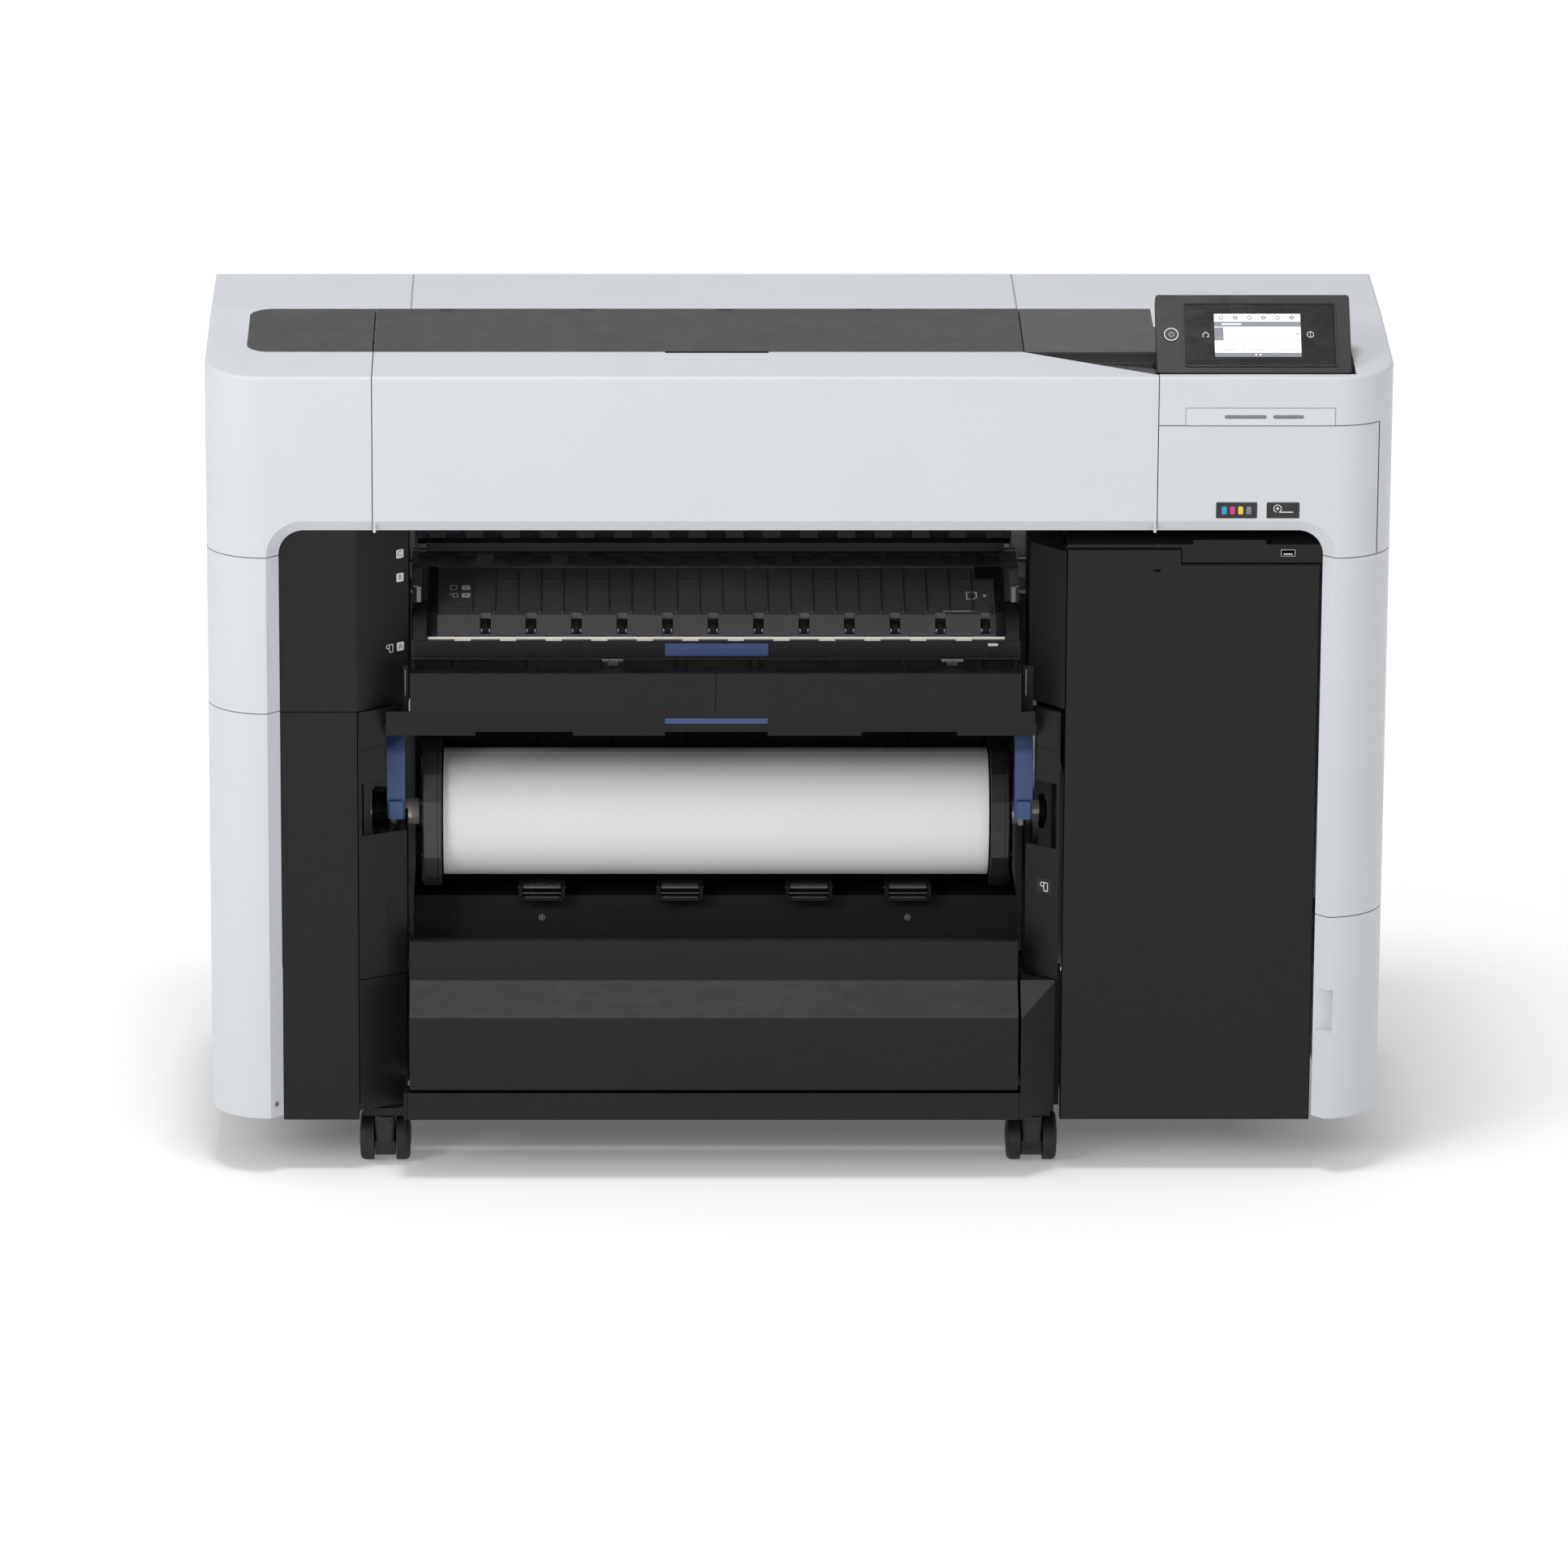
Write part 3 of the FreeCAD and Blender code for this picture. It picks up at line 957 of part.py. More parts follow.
def make_electronics():
    """Main board in the left cabinet; power supply with its inlet reaching the rear wall."""
    board = box("board_plate", ("-556", "-554"), ("-60", "170"), ("200", "440"))
    chips = [box(f"board_chip_{index}", ("-554.5", "-546"), (f"-40 + {index}*55", f"-8 + {index}*55"),
                 (f"240 + {index}*30", f"280 + {index}*30")) for index in range(4)]
    sub_part("main_board", fuse("board_fuse", [board] + chips))
    case = box("supply_case", ("-530", "-458"), ("150", "286"), ("70", "190"))
    socket = box("supply_socket", ("-516", "-464"), ("280", "299"), ("114", "156"))
    well = box("supply_well", ("-506", "-474"), ("284", "301"), ("124", "146"))
    sub_part("power_supply", cut("supply_cut", fuse("supply_fuse", [case, socket]), [well]))


CASTERS = [("front_left", "caster_left", "caster_front"), ("front_right", "caster_right", "caster_front"),
           ("rear_left", "caster_left", "caster_rear"), ("rear_right", "caster_right", "caster_rear")]


def make_casters():
    """Twin-wheel casters: each housing swivels on its stem and carries two wheels on one axle."""
    for name, x, y in CASTERS:
        hood = rod(f"hood_{name}", "X", (f"{x} - 11.5", y, "wheel_radius"), "23", "wheel_radius - 5")
        neck = box(f"neck_{name}", (f"{x} - 11.5", f"{x} + 11.5"), (f"{y} - trail - 11.5", y),
                   ("wheel_radius", "58"))
        neck_soft = round_edges(f"neck_soft_{name}", neck, "8",
                                [(f"{x} - 11.5", f"{y} - trail - 11.5", "40"),
                                 (f"{x} + 11.5", f"{y} - trail - 11.5", "40")])
        bore = rod(f"housing_bore_{name}", "X", (f"{x} - 12", y, "wheel_radius"), "24",
                   "axle_radius + running")
        stem = rod(f"stem_{name}", "Z", (x, f"{y} - trail", "plate_base - 10"), "14", "stem_radius")
        housing = fuse(f"housing_{name}", [hood, neck_soft, stem])
        sub_part(f"{name}_caster", cut(f"housing_cut_{name}", housing, [bore]))
        axle = rod(f"axle_{name}", "X", (f"{x} - wheel_inner - 1", y, "wheel_radius"), "2*wheel_inner + 2",
                   "axle_radius")
        wheels = []
        for side, start, rim in ((-1, f"{x} - wheel_outer", f"{x} - wheel_outer"),
                                 (1, f"{x} + wheel_inner", f"{x} + wheel_outer")):
            disc = rod(f"disc_{name}_{side + 1}", "X", (start, y, "wheel_radius"),
                       "wheel_outer - wheel_inner",
                       "wheel_radius")
            wheels.append(round_edges(f"disc_soft_{name}_{side + 1}", disc, "6",
                                      [(rim, y, "2*wheel_radius")]))
        sub_part(f"{name}_wheels", fuse(f"wheels_{name}", wheels + [axle]))


# ---------------------------------------------------------------- build, check, write

def check(items):
    """Stop on any failed feature or any sub-part without a valid shape."""
    for item in doc.Objects:
        if "Invalid" in item.State or "Error" in item.State:
            raise RuntimeError(f"{item.Name} failed: {item.State}")
    for item in items:
        if item.Shape.isNull() or not item.Shape.isValid() or not item.Shape.Solids:
            raise RuntimeError(f"{item.Label} has no valid shape")


def main():
    make_front_cover()
    make_top_covers()
    make_deck()
    make_side_covers()
    make_rear_cover()
    make_control_panel()
    make_fascias()
    make_columns()
    make_left_cabinet()
    make_ink_door()
    make_usb_shelf()
    make_lower_frame()
    make_catch_bin()
    make_bay_liner()
    make_ink_system()
    make_engine()
    make_paper_guide()
    make_roll_cover()
    make_roll()
    make_roll_supports()
    make_frame()
    make_electronics()
    make_casters()
    doc.recompute()
    check(sub_parts)
    os.makedirs("parts", exist_ok=True)
    for item in sub_parts:
        item.Shape.exportStep(f"parts/{item.Label}.step")
        shape = item.Shape
        extent = shape.BoundBox
        print(f"{item.Label:22s} solids {len(shape.Solids):2d} volume {shape.Volume / 1000:9.1f} cm3  "
              f"X {extent.XMin:7.1f} {extent.XMax:7.1f}  Y {extent.YMin:7.1f} {extent.YMax:7.1f}  "
              f"Z {extent.ZMin:6.1f} {extent.ZMax:6.1f}")
    print(len(sub_parts), "sub-parts")


main()
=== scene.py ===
"""Looks for the large format plotter: materials, small details, light, floor and camera.

Everything is placed in millimetres in the CAD frame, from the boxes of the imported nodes,
and turned into metres when a mesh is made.
"""
import json
import math
from collections import namedtuple

import bpy
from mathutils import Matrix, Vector


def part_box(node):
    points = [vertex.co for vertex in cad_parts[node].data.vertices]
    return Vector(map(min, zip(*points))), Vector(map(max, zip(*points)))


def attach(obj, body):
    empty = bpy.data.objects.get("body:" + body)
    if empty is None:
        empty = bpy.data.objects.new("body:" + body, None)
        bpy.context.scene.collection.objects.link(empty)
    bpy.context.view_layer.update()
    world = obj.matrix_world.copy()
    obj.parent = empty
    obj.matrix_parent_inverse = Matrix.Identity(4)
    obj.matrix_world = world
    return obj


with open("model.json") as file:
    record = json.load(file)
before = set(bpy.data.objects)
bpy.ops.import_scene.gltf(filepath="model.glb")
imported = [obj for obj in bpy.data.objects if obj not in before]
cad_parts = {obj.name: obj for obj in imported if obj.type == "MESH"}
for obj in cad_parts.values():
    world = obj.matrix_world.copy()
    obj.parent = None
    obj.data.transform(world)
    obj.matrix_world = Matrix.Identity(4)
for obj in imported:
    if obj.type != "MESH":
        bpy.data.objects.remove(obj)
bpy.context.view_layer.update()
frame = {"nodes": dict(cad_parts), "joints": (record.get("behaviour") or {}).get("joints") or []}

MM = 0.001
Span = namedtuple("Span", "left right front back bottom top")
Face = namedtuple("Face", "origin u v n")


def span(node):
    """A CAD node's box in millimetres."""
    low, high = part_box(node)
    return Span(*(value / MM for value in (low.x, high.x, low.y, high.y, low.z, high.z)))


def face(origin, u, v):
    """A flat place to build on: u and v lie in it and its normal points out of the object."""
    u = Vector(u).normalized()
    v = Vector(v).normalized()
    return Face(Vector(origin), u, v, u.cross(v))


def front_face(depth):
    """An upright face that looks towards the user, at one depth; u is the X axis and v the Z axis."""
    return face((0, depth, 0), (1, 0, 0), (0, 0, 1))


# ---------------------------------------------------------------- materials

LOOKS = {}


class Paint:
    """Small helper that grows one material's node tree."""

    def __init__(self, name):
        self.material = bpy.data.materials.new(name)
        self.material.use_nodes = True
        self.tree = self.material.node_tree
        self.tree.nodes.clear()
        self.output = self.add("ShaderNodeOutputMaterial")
        self.shader = self.add("ShaderNodeBsdfPrincipled")
        self.link(self.shader.outputs["BSDF"], self.output.inputs["Surface"])
        self.position = self.add("ShaderNodeTexCoord").outputs["Object"]

    def add(self, kind, **settings):
        node = self.tree.nodes.new(kind)
        for key, value in settings.items():
            setattr(node, key, value)
        return node

    def link(self, source, target):
        self.tree.links.new(source, target)

    def noise(self, scale, detail=2.0, rough=0.5, stretch=None):
        """Noise over the object's own coordinates; stretch squeezes it along an axis."""
        source = self.position
        if stretch:
            mapping = self.add("ShaderNodeMapping")
            mapping.inputs["Scale"].default_value = stretch
            self.link(source, mapping.inputs["Vector"])
            source = mapping.outputs["Vector"]
        node = self.add("ShaderNodeTexNoise")
        self.link(source, node.inputs["Vector"])
        node.inputs["Scale"].default_value = scale
        node.inputs["Detail"].default_value = detail
        node.inputs["Roughness"].default_value = rough
        return node.outputs["Fac"]

    def remap(self, value, low, high, to_low, to_high):
        node = self.add("ShaderNodeMapRange")
        self.link(value, node.inputs["Value"])
        for key, number in zip(("From Min", "From Max", "To Min", "To Max"), (low, high, to_low, to_high)):
            node.inputs[key].default_value = number
        return node.outputs["Result"]

    def times(self, first, second):
        node = self.add("ShaderNodeMath", operation="MULTIPLY")
        for index, value in enumerate((first, second)):
            if isinstance(value, (int, float)):
                node.inputs[index].default_value = value
            else:
                self.link(value, node.inputs[index])
        return node.outputs["Value"]

    def plus(self, first, second):
        node = self.add("ShaderNodeMath", operation="ADD")
        self.link(first, node.inputs[0])
        self.link(second, node.inputs[1])
        return node.outputs["Value"]

    def outside(self, half_width, half_depth):
        """How far a point lies outside a rectangle round the origin, seen from above."""
        spread = self.add("ShaderNodeVectorMath", operation="ABSOLUTE")
        self.link(self.position, spread.inputs[0])
        reach = self.add("ShaderNodeVectorMath", operation="SUBTRACT")
        self.link(spread.outputs["Vector"], reach.inputs[0])
        reach.inputs[1].default_value = (half_width, half_depth, 0.0)
        kept = self.add("ShaderNodeVectorMath", operation="MAXIMUM")
        self.link(reach.outputs["Vector"], kept.inputs[0])
        kept.inputs[1].default_value = (0.0, 0.0, 0.0)
        length = self.add("ShaderNodeVectorMath", operation="LENGTH")
        self.link(kept.outputs["Vector"], length.inputs[0])
        return length.outputs["Value"]

    def mix(self, first, second, factor, blend="MIX"):
        """Two colours mixed; each may be a colour or a link, and the factor a number or a link."""
        node = self.add("ShaderNodeMix", data_type="RGBA", blend_type=blend)
        for socket, value in ((node.inputs[6], first), (node.inputs[7], second), (node.inputs[0], factor)):
            if isinstance(value, tuple):
                socket.default_value = (*value, 1.0)
            elif isinstance(value, (int, float)):
                socket.default_value = value
            else:
                self.link(value, socket)
        return node.outputs[2]

    def edge(self, radius):
        """The softened normal near sharp edges, and a mask that is 1 on those edges."""
        bevel = self.add("ShaderNodeBevel", samples=3)
        bevel.inputs["Radius"].default_value = radius
        normal = self.add("ShaderNodeNewGeometry").outputs["Normal"]
        dot = self.add("ShaderNodeVectorMath", operation="DOT_PRODUCT")
        self.link(bevel.outputs["Normal"], dot.inputs[0])
        self.link(normal, dot.inputs[1])
        return bevel.outputs["Normal"], self.remap(dot.outputs["Value"], 0.995, 0.8, 0.0, 1.0)

    def bump(self, height, strength, distance, normal):
        node = self.add("ShaderNodeBump")
        node.inputs["Strength"].default_value = strength
        node.inputs["Distance"].default_value = distance
        self.link(height, node.inputs["Height"])
        self.link(normal, node.inputs["Normal"])
        return node.outputs["Normal"]


def scaled(colour, factor):
    return tuple(min(1.0, channel * factor) for channel in colour)


def look(name, colour, rough, tone=0.05, cloud=6.0, grain=0.3, size=0.9, depth=0.05, fleck=0.0, scuff=0.08,
         wear=0.3, worn=1.5, soft=0.8, metal=0.0, coat=0.0, shine=0.5, lines=None, glow=0.0):
    """One finished surface.

    tone and cloud: broad change of colour and its scale; grain, size, depth: bump strength, grain
    size and height in mm; fleck: fine change of colour; scuff: change of roughness; wear and worn:
    how strongly edges take the worn colour; soft: edge rounding in mm; lines: stretch of the fine
    marks, for turned or brushed metal; glow: light given off, for lit screens.
    """
    paint = Paint(name)
    shader = paint.shader
    clouds = paint.noise(cloud, 4.0, 0.6)
    broad = paint.remap(clouds, 0.3, 0.7, 0.0, 1.0)
    base = paint.mix(scaled(colour, 1.0 - tone), scaled(colour, 1.0 + tone), broad)
    if lines:
        fine = paint.noise(1.0, 2.0, 0.6, lines)
    else:
        fine = paint.noise(1.0 / (size * MM), 2.0, 0.6)
    if fleck:
        base = paint.mix(base, paint.remap(fine, 0.3, 0.7, 1.0 - fleck, 1.0 + fleck), 1.0, "MULTIPLY")
    normal, mask = paint.edge(soft * MM)
    patches = paint.remap(paint.noise(45.0, 3.0, 0.7), 0.35, 0.65, 0.2, 1.0)
    base = paint.mix(base, scaled(colour, worn), paint.times(paint.times(mask, patches), wear))
    rub = paint.noise(1.0, 4.0, 0.7, (30.0, 30.0, 90.0))
    paint.link(base, shader.inputs["Base Color"])
    paint.link(paint.remap(rub, 0.3, 0.7, rough - scuff, rough + scuff), shader.inputs["Roughness"])
    paint.link(paint.bump(fine, grain, depth * MM, normal), shader.inputs["Normal"])
    shader.inputs["Metallic"].default_value = metal
    shader.inputs["Specular IOR Level"].default_value = shine
    shader.inputs["Coat Weight"].default_value = coat
    shader.inputs["Coat Roughness"].default_value = 0.06
    if glow:
        shader.inputs["Emission Color"].default_value = (*colour, 1.0)
        shader.inputs["Emission Strength"].default_value = glow
    LOOKS[name] = paint.material


def make_looks():
    """Every finish on the machine."""
    # casing and other mouldings
    look("white_plastic", (0.63, 0.65, 0.685), 0.42, tone=0.012, fleck=0.045, grain=0.35, size=0.8,
         wear=0.12, worn=1.12, shine=0.35)
    look("black_plastic", (0.0075, 0.0075, 0.0077), 0.48, tone=0.06, fleck=0.16, grain=0.5, size=0.7,
         wear=0.3, worn=2.2, shine=0.26, scuff=0.03)
    look("band_plastic", (0.033, 0.033, 0.034), 0.32, tone=0.05, fleck=0.05, grain=0.15, size=0.6,
         wear=0.4, worn=1.8, shine=0.45, coat=0.15)
    look("deck_plastic", (0.082, 0.082, 0.083), 0.38, tone=0.04, fleck=0.06, grain=0.2, size=0.6,
         wear=0.4, worn=1.6, shine=0.4)
    look("guide_plastic", (0.074, 0.068, 0.076), 0.42, tone=0.1, cloud=12.0, fleck=0.1, grain=0.25, size=0.7,
         wear=0.4, worn=2.0, shine=0.45, scuff=0.12)
    look("liner_plastic", (0.007, 0.007, 0.0075), 0.6, tone=0.15, fleck=0.1, grain=0.4, size=0.9, shine=0.25)
    look("panel_plastic", (0.009, 0.009, 0.0095), 0.42, tone=0.05, fleck=0.05, grain=0.15, size=0.5,
         wear=0.4, worn=2.5, shine=0.4)
    look("screen_glass", (0.008, 0.008, 0.009), 0.16, tone=0.05, cloud=20.0, grain=0.03, size=4.0,
         scuff=0.05, wear=0.2, shine=0.5, coat=0.4)
    look("button_plastic", (0.014, 0.014, 0.0145), 0.32, grain=0.15, size=0.4, shine=0.45)
    look("cartridge_plastic", (0.02, 0.02, 0.022), 0.4, tone=0.08, fleck=0.06, size=0.8, shine=0.45)
    look("blue_plastic", (0.042, 0.075, 0.2), 0.42, tone=0.06, cloud=14.0, fleck=0.07, grain=0.35, size=0.7,
         wear=0.4, worn=1.5, shine=0.4)
    look("flange_plastic", (0.045, 0.041, 0.047), 0.36, tone=0.08, cloud=18.0, fleck=0.05, grain=0.2,
         wear=0.5, worn=1.9, shine=0.45)
    look("dark_flange_plastic", (0.017, 0.0165, 0.0175), 0.38, tone=0.08, fleck=0.06, grain=0.2,
         wear=0.5, worn=2.6, shine=0.4)
    look("caster_plastic", (0.011, 0.011, 0.0115), 0.45, tone=0.08, fleck=0.1, size=0.8, shine=0.4)
    look("wheel_plastic", (0.013, 0.013, 0.0135), 0.5, tone=0.2, cloud=40.0, fleck=0.2, size=0.8,
         wear=0.6, worn=3.0, shine=0.35, scuff=0.15)
    look("rubber", (0.011, 0.011, 0.0112), 0.75, tone=0.15, cloud=60.0, fleck=0.2, size=0.5, grain=0.5,
         shine=0.2)
    look("paper", (0.79, 0.79, 0.79), 0.8, tone=0.01, cloud=3.0, fleck=0.02, size=0.35, grain=0.2, depth=0.03,
         scuff=0.03, wear=0.0, shine=0.2)
    # metals
    look("roller_metal", (0.6, 0.6, 0.6), 0.28, tone=0.05, fleck=0.12, grain=0.3, depth=0.02,
         lines=(2500.0, 60.0, 60.0), metal=1.0, wear=0.3, worn=1.3)
    # spindle_steel carries a painted highlight: a near-white cream colour with little metal, so that its even
    # diffuse brightness stands in for the bright reflection along the shaft
    look("spindle_steel", (0.98, 0.95, 0.87), 0.16, tone=0.05, fleck=0.06, grain=0.12, depth=0.01,
         lines=(1800.0, 40.0, 40.0), metal=0.2, wear=0.2, worn=1.1, scuff=0.04)
    look("chassis_steel", (0.46, 0.465, 0.47), 0.38, tone=0.12, cloud=30.0, fleck=0.08, grain=0.15,
         depth=0.02, lines=(60.0, 1200.0, 60.0), metal=1.0, wear=0.4, worn=1.3)
    look("supply_steel", (0.5, 0.5, 0.505), 0.35, tone=0.1, cloud=25.0, fleck=0.08, grain=0.15, depth=0.02,
         lines=(1200.0, 60.0, 60.0), metal=1.0, wear=0.4, worn=1.3)
    look("board", (0.012, 0.075, 0.028), 0.38, tone=0.1, cloud=80.0, fleck=0.2, size=1.2, grain=0.2)
    look("dark_steel", (0.12, 0.12, 0.12), 0.3, tone=0.1, cloud=40.0, fleck=0.1, grain=0.2, depth=0.02,
         lines=(1800.0, 50.0, 50.0), metal=1.0, wear=0.4, worn=2.0)
    look("screw_steel", (0.4, 0.4, 0.4), 0.3, tone=0.1, cloud=90.0, fleck=0.1, metal=1.0, size=0.4, wear=0.5)
    # printed marks, labels and the lit screen
    look("mark_white", (0.72, 0.72, 0.72), 0.5, tone=0.03, fleck=0.04, size=0.3, grain=0.1, wear=0.0)
    look("mark_grey", (0.2, 0.2, 0.205), 0.5, tone=0.05, fleck=0.06, size=0.3, grain=0.1, wear=0.0)
    look("seam_grey", (0.36, 0.37, 0.385), 0.5, tone=0.05, fleck=0.06, size=0.3, grain=0.1, wear=0.0)
    look("mark_dark", (0.012, 0.012, 0.013), 0.42, tone=0.1, fleck=0.1, size=0.4, grain=0.2, wear=0.1)
    look("label_film", (0.64, 0.66, 0.70), 0.22, tone=0.01, fleck=0.02, size=0.5, grain=0.05,
         wear=0.2, worn=0.7)
    look("ink_cyan", (0.02, 0.33, 0.62), 0.3, tone=0.04, size=0.3, grain=0.1, wear=0.0)
    look("ink_magenta", (0.6, 0.03, 0.22), 0.3, tone=0.04, size=0.3, grain=0.1, wear=0.0)
    look("ink_yellow", (0.8, 0.6, 0.03), 0.3, tone=0.04, size=0.3, grain=0.1, wear=0.0)
    look("screen_white", (0.86, 0.88, 0.9), 0.2, tone=0.015, cloud=30.0, grain=0.02, wear=0.0, glow=0.45)
    look("screen_grey", (0.22, 0.23, 0.25), 0.2, tone=0.03, cloud=30.0, grain=0.02, wear=0.0, glow=0.3)
    look("screen_line", (0.45, 0.46, 0.48), 0.2, tone=0.03, cloud=30.0, grain=0.02, wear=0.0, glow=0.4)


def paint_nodes():
    """Give each CAD node the finish that its record slot names, with a few closer matches."""
    closer = {"panel_deck": "deck_plastic", "right_flange": "dark_flange_plastic",
              "support_rollers": "dark_steel", "base_frame": "chassis_steel"}
    for name, node in frame["nodes"].items():
        for index, slot in enumerate(node.material_slots):
            base_name = slot.material.name.split(".")[0] if slot.material else ""
            wanted = closer.get(name, base_name)
            if wanted not in LOOKS:
                raise ValueError(f"no finish for {name}, slot {base_name}")
            node.material_slots[index].material = LOOKS[wanted]


# ---------------------------------------------------------------- shapes

def area(outline):
    """Signed area of a closed outline; positive when it runs anticlockwise."""
    total = 0.0
    for (a, b), (c, d) in zip(outline, outline[1:] + outline[:1]):
        total += a * d - b * c
    return total / 2


def on_face(spot, point, lift):
    return spot.origin + spot.u * point[0] + spot.v * point[1] + spot.n * lift


def prism(spot, outline, low, high):
    """An outline raised from a face, from one height above it to another."""
    if area(outline) < 0:
        outline = outline[::-1]
    count = len(outline)
    points = [on_face(spot, p, low) for p in outline] + [on_face(spot, p, high) for p in outline]
    faces = [list(range(count))[::-1], list(range(count, 2 * count))]
    for i in range(count):
        j = (i + 1) % count
        faces.append([i, j, count + j, count + i])
    return points, faces


def band(spot, outer, inner, low, high):
    """A closed frame between two outlines with the same number of points."""
    count = len(outer)
    points = []
    for outline in (outer, inner):
        for lift in (low, high):
            points += [on_face(spot, p, lift) for p in outline]
    out_low, out_high, in_low, in_high = (k * count for k in range(4))
    faces = []
    for i in range(count):
        j = (i + 1) % count
        faces.append([out_low + i, out_low + j, out_high + j, out_high + i])
        faces.append([in_low + j, in_low + i, in_high + i, in_high + j])
        faces.append([out_high + i, out_high + j, in_high + j, in_high + i])
        faces.append([out_low + j, out_low + i, in_low + i, in_low + j])
    return points, faces


AROUND = {"X": ((0, 1, 0), (0, 0, 1)), "Y": ((0, 0, 1), (1, 0, 0)), "Z": ((1, 0, 0), (0, 1, 0))}
ALONG = {"X": Vector((1, 0, 0)), "Y": Vector((0, 1, 0)), "Z": Vector((0, 0, 1))}


def lathe(axis, centre, profile, steps=48):
    """A turned shape: the profile is (distance along the axis, radius), closed on the axis."""
    side, up = (Vector(v) for v in AROUND[axis])
    centre = Vector(centre)
    points = []
    faces = []
    for along, radius in profile:
        for k in range(steps):
            turn = 2 * math.pi * k / steps
            points.append(centre + ALONG[axis] * along
                          + (side * math.cos(turn) + up * math.sin(turn)) * radius)
    for ring in range(len(profile) - 1):
        for k in range(steps):
            a = ring * steps + k
            b = ring * steps + (k + 1) % steps
            faces.append([a, b, b + steps, a + steps])
    last = (len(profile) - 1) * steps
    faces.append(list(range(steps))[::-1])
    faces.append(list(range(last, last + steps)))
    return points, faces


def tube(axis, centre, profile, steps=48):
    """A turned shape whose profile closes on itself, such as a ring."""
    points, faces = lathe(axis, centre, profile + profile[:1], steps)
    count = len(profile) * steps
    faces = [[index % count for index in loop] for loop in faces[:-2]]
    return points[:count], faces


def pill(x, y, width, height, radius, steps=5):
    """A rectangle with rounded corners about its middle point."""
    outline = []
    for sx, sy, start in ((1, -1, -90), (1, 1, 0), (-1, 1, 90), (-1, -1, 180)):
        cx = x + sx * (width / 2 - radius)
        cy = y + sy * (height / 2 - radius)
        for k in range(steps + 1):
            turn = math.radians(start + 90 * k / steps)
            outline.append((cx + radius * math.cos(turn), cy + radius * math.sin(turn)))
    return outline


def rectangle(left, right, low, high):
    return [(left, low), (right, low), (right, high), (left, high)]


def disc(x, y, radius, steps=32, start=0.0, sweep=360.0):
    """Points on a circle or, with a sweep, on part of one."""
    count = steps if sweep == 360.0 else steps + 1
    turns = [math.radians(start + sweep * k / steps) for k in range(count)]
    return [(x + radius * math.cos(t), y + radius * math.sin(t)) for t in turns]


def arc_band(spot, x, y, outer, inner, start, sweep, low, high, steps=24):
    """Part of a flat ring."""
    return prism(spot, disc(x, y, outer, steps, start, sweep)
                 + disc(x, y, inner, steps, start, sweep)[::-1], low, high)


def ring(spot, x, y, outer, inner, low, high, steps=24):
    """A flat ring; a hair of it stays open, so that its outline is one closed line."""
    return arc_band(spot, x, y, outer, inner, 0, 359.9, low, high, steps)


def frame_of(spot, x, y, width, height, line, low, high, radius=1.0):
    """A thin rounded frame, as printed or raised round a label."""
    return band(spot, pill(x, y, width, height, radius),
                pill(x, y, width - 2 * line, height - 2 * line, max(radius - line, 0.05)), low, high)


def letter(spot, text, x, y, height, low, high):
    """A plain tray letter from the built-in font, centred on a point."""
    font = bpy.data.curves.new("letter", "FONT")
    font.body = text
    font.size = height * 1.4
    font.align_x = "CENTER"
    font.align_y = "CENTER"
    font.extrude = (high - low) / 2
    carrier = bpy.data.objects.new("letter", font)
    mesh = bpy.data.meshes.new_from_object(carrier)
    points = [on_face(spot, (x + v.co.x, y + v.co.y), (low + high) / 2 + v.co.z) for v in mesh.vertices]
    faces = [list(p.vertices) for p in mesh.polygons]
    bpy.data.objects.remove(carrier)
    bpy.data.curves.remove(font)
    bpy.data.meshes.remove(mesh)
    return points, faces


def piece(name, body, finish, shapes, bevel=0.25, sharp=35.0):
    """One visible piece from one or more shapes, riding on a CAD body."""
    points = []
    faces = []
    for shape_points, shape_faces in shapes:
        start = len(points)
        points += [tuple(value * MM for value in point) for point in shape_points]
        faces += [[start + index for index in loop] for loop in shape_faces]
    mesh = bpy.data.meshes.new(name)
    mesh.from_pydata(points, [], faces)
    mesh.validate()
    mesh.materials.append(LOOKS[finish])
    mesh.shade_smooth()
    mesh.set_sharp_from_angle(angle=math.radians(sharp))
    item = bpy.data.objects.new(name, mesh)
    bpy.context.scene.collection.objects.link(item)
    if bevel:
        rounding = item.modifiers.new("soft_edges", "BEVEL")
        rounding.width = bevel * MM
        rounding.segments = 2
        rounding.limit_method = "ANGLE"
        rounding.angle_limit = math.radians(40)
        rounding.harden_normals = True
    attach(item, body)
    return item


def screw_cross(spot, x, y, radius):
    """The cross recess of a screw, drawn on the top of its head."""
    arm = radius * 0.62
    thin = radius * 0.13
    top = 0.58
    return [prism(spot, pill(x, y, 2 * arm, 2 * thin, thin * 0.9, 2), top, top + 0.1),
            prism(spot, pill(x, y, 2 * thin, 2 * arm, thin * 0.9, 2), top, top + 0.1)]


# ---------------------------------------------------------------- control panel

PANEL_SLOPE = math.radians(47.5)
GLASS_TOP = 0.3
MARK_RISE = 48.0
DISPLAY_WIDE = 95
DISPLAY_TALL = 54
DISPLAY_RISE = 47.0


def panel_face():
    """The sloped face of the control panel; v runs up the slope from the hinge."""
    hinge = next(joint for joint in frame["joints"] if joint["name"] == "panel_tilt")["pos_m"]
    up_slope = (0, math.cos(PANEL_SLOPE), math.sin(PANEL_SLOPE))
    return face((0, hinge[1] / MM, hinge[2] / MM), (1, 0, 0), up_slope)


def display_middle():
    """The lit display sits a little left of the glass's middle."""
    glass = span("touch_screen")
    return (glass.left + glass.right) / 2 - 2.5


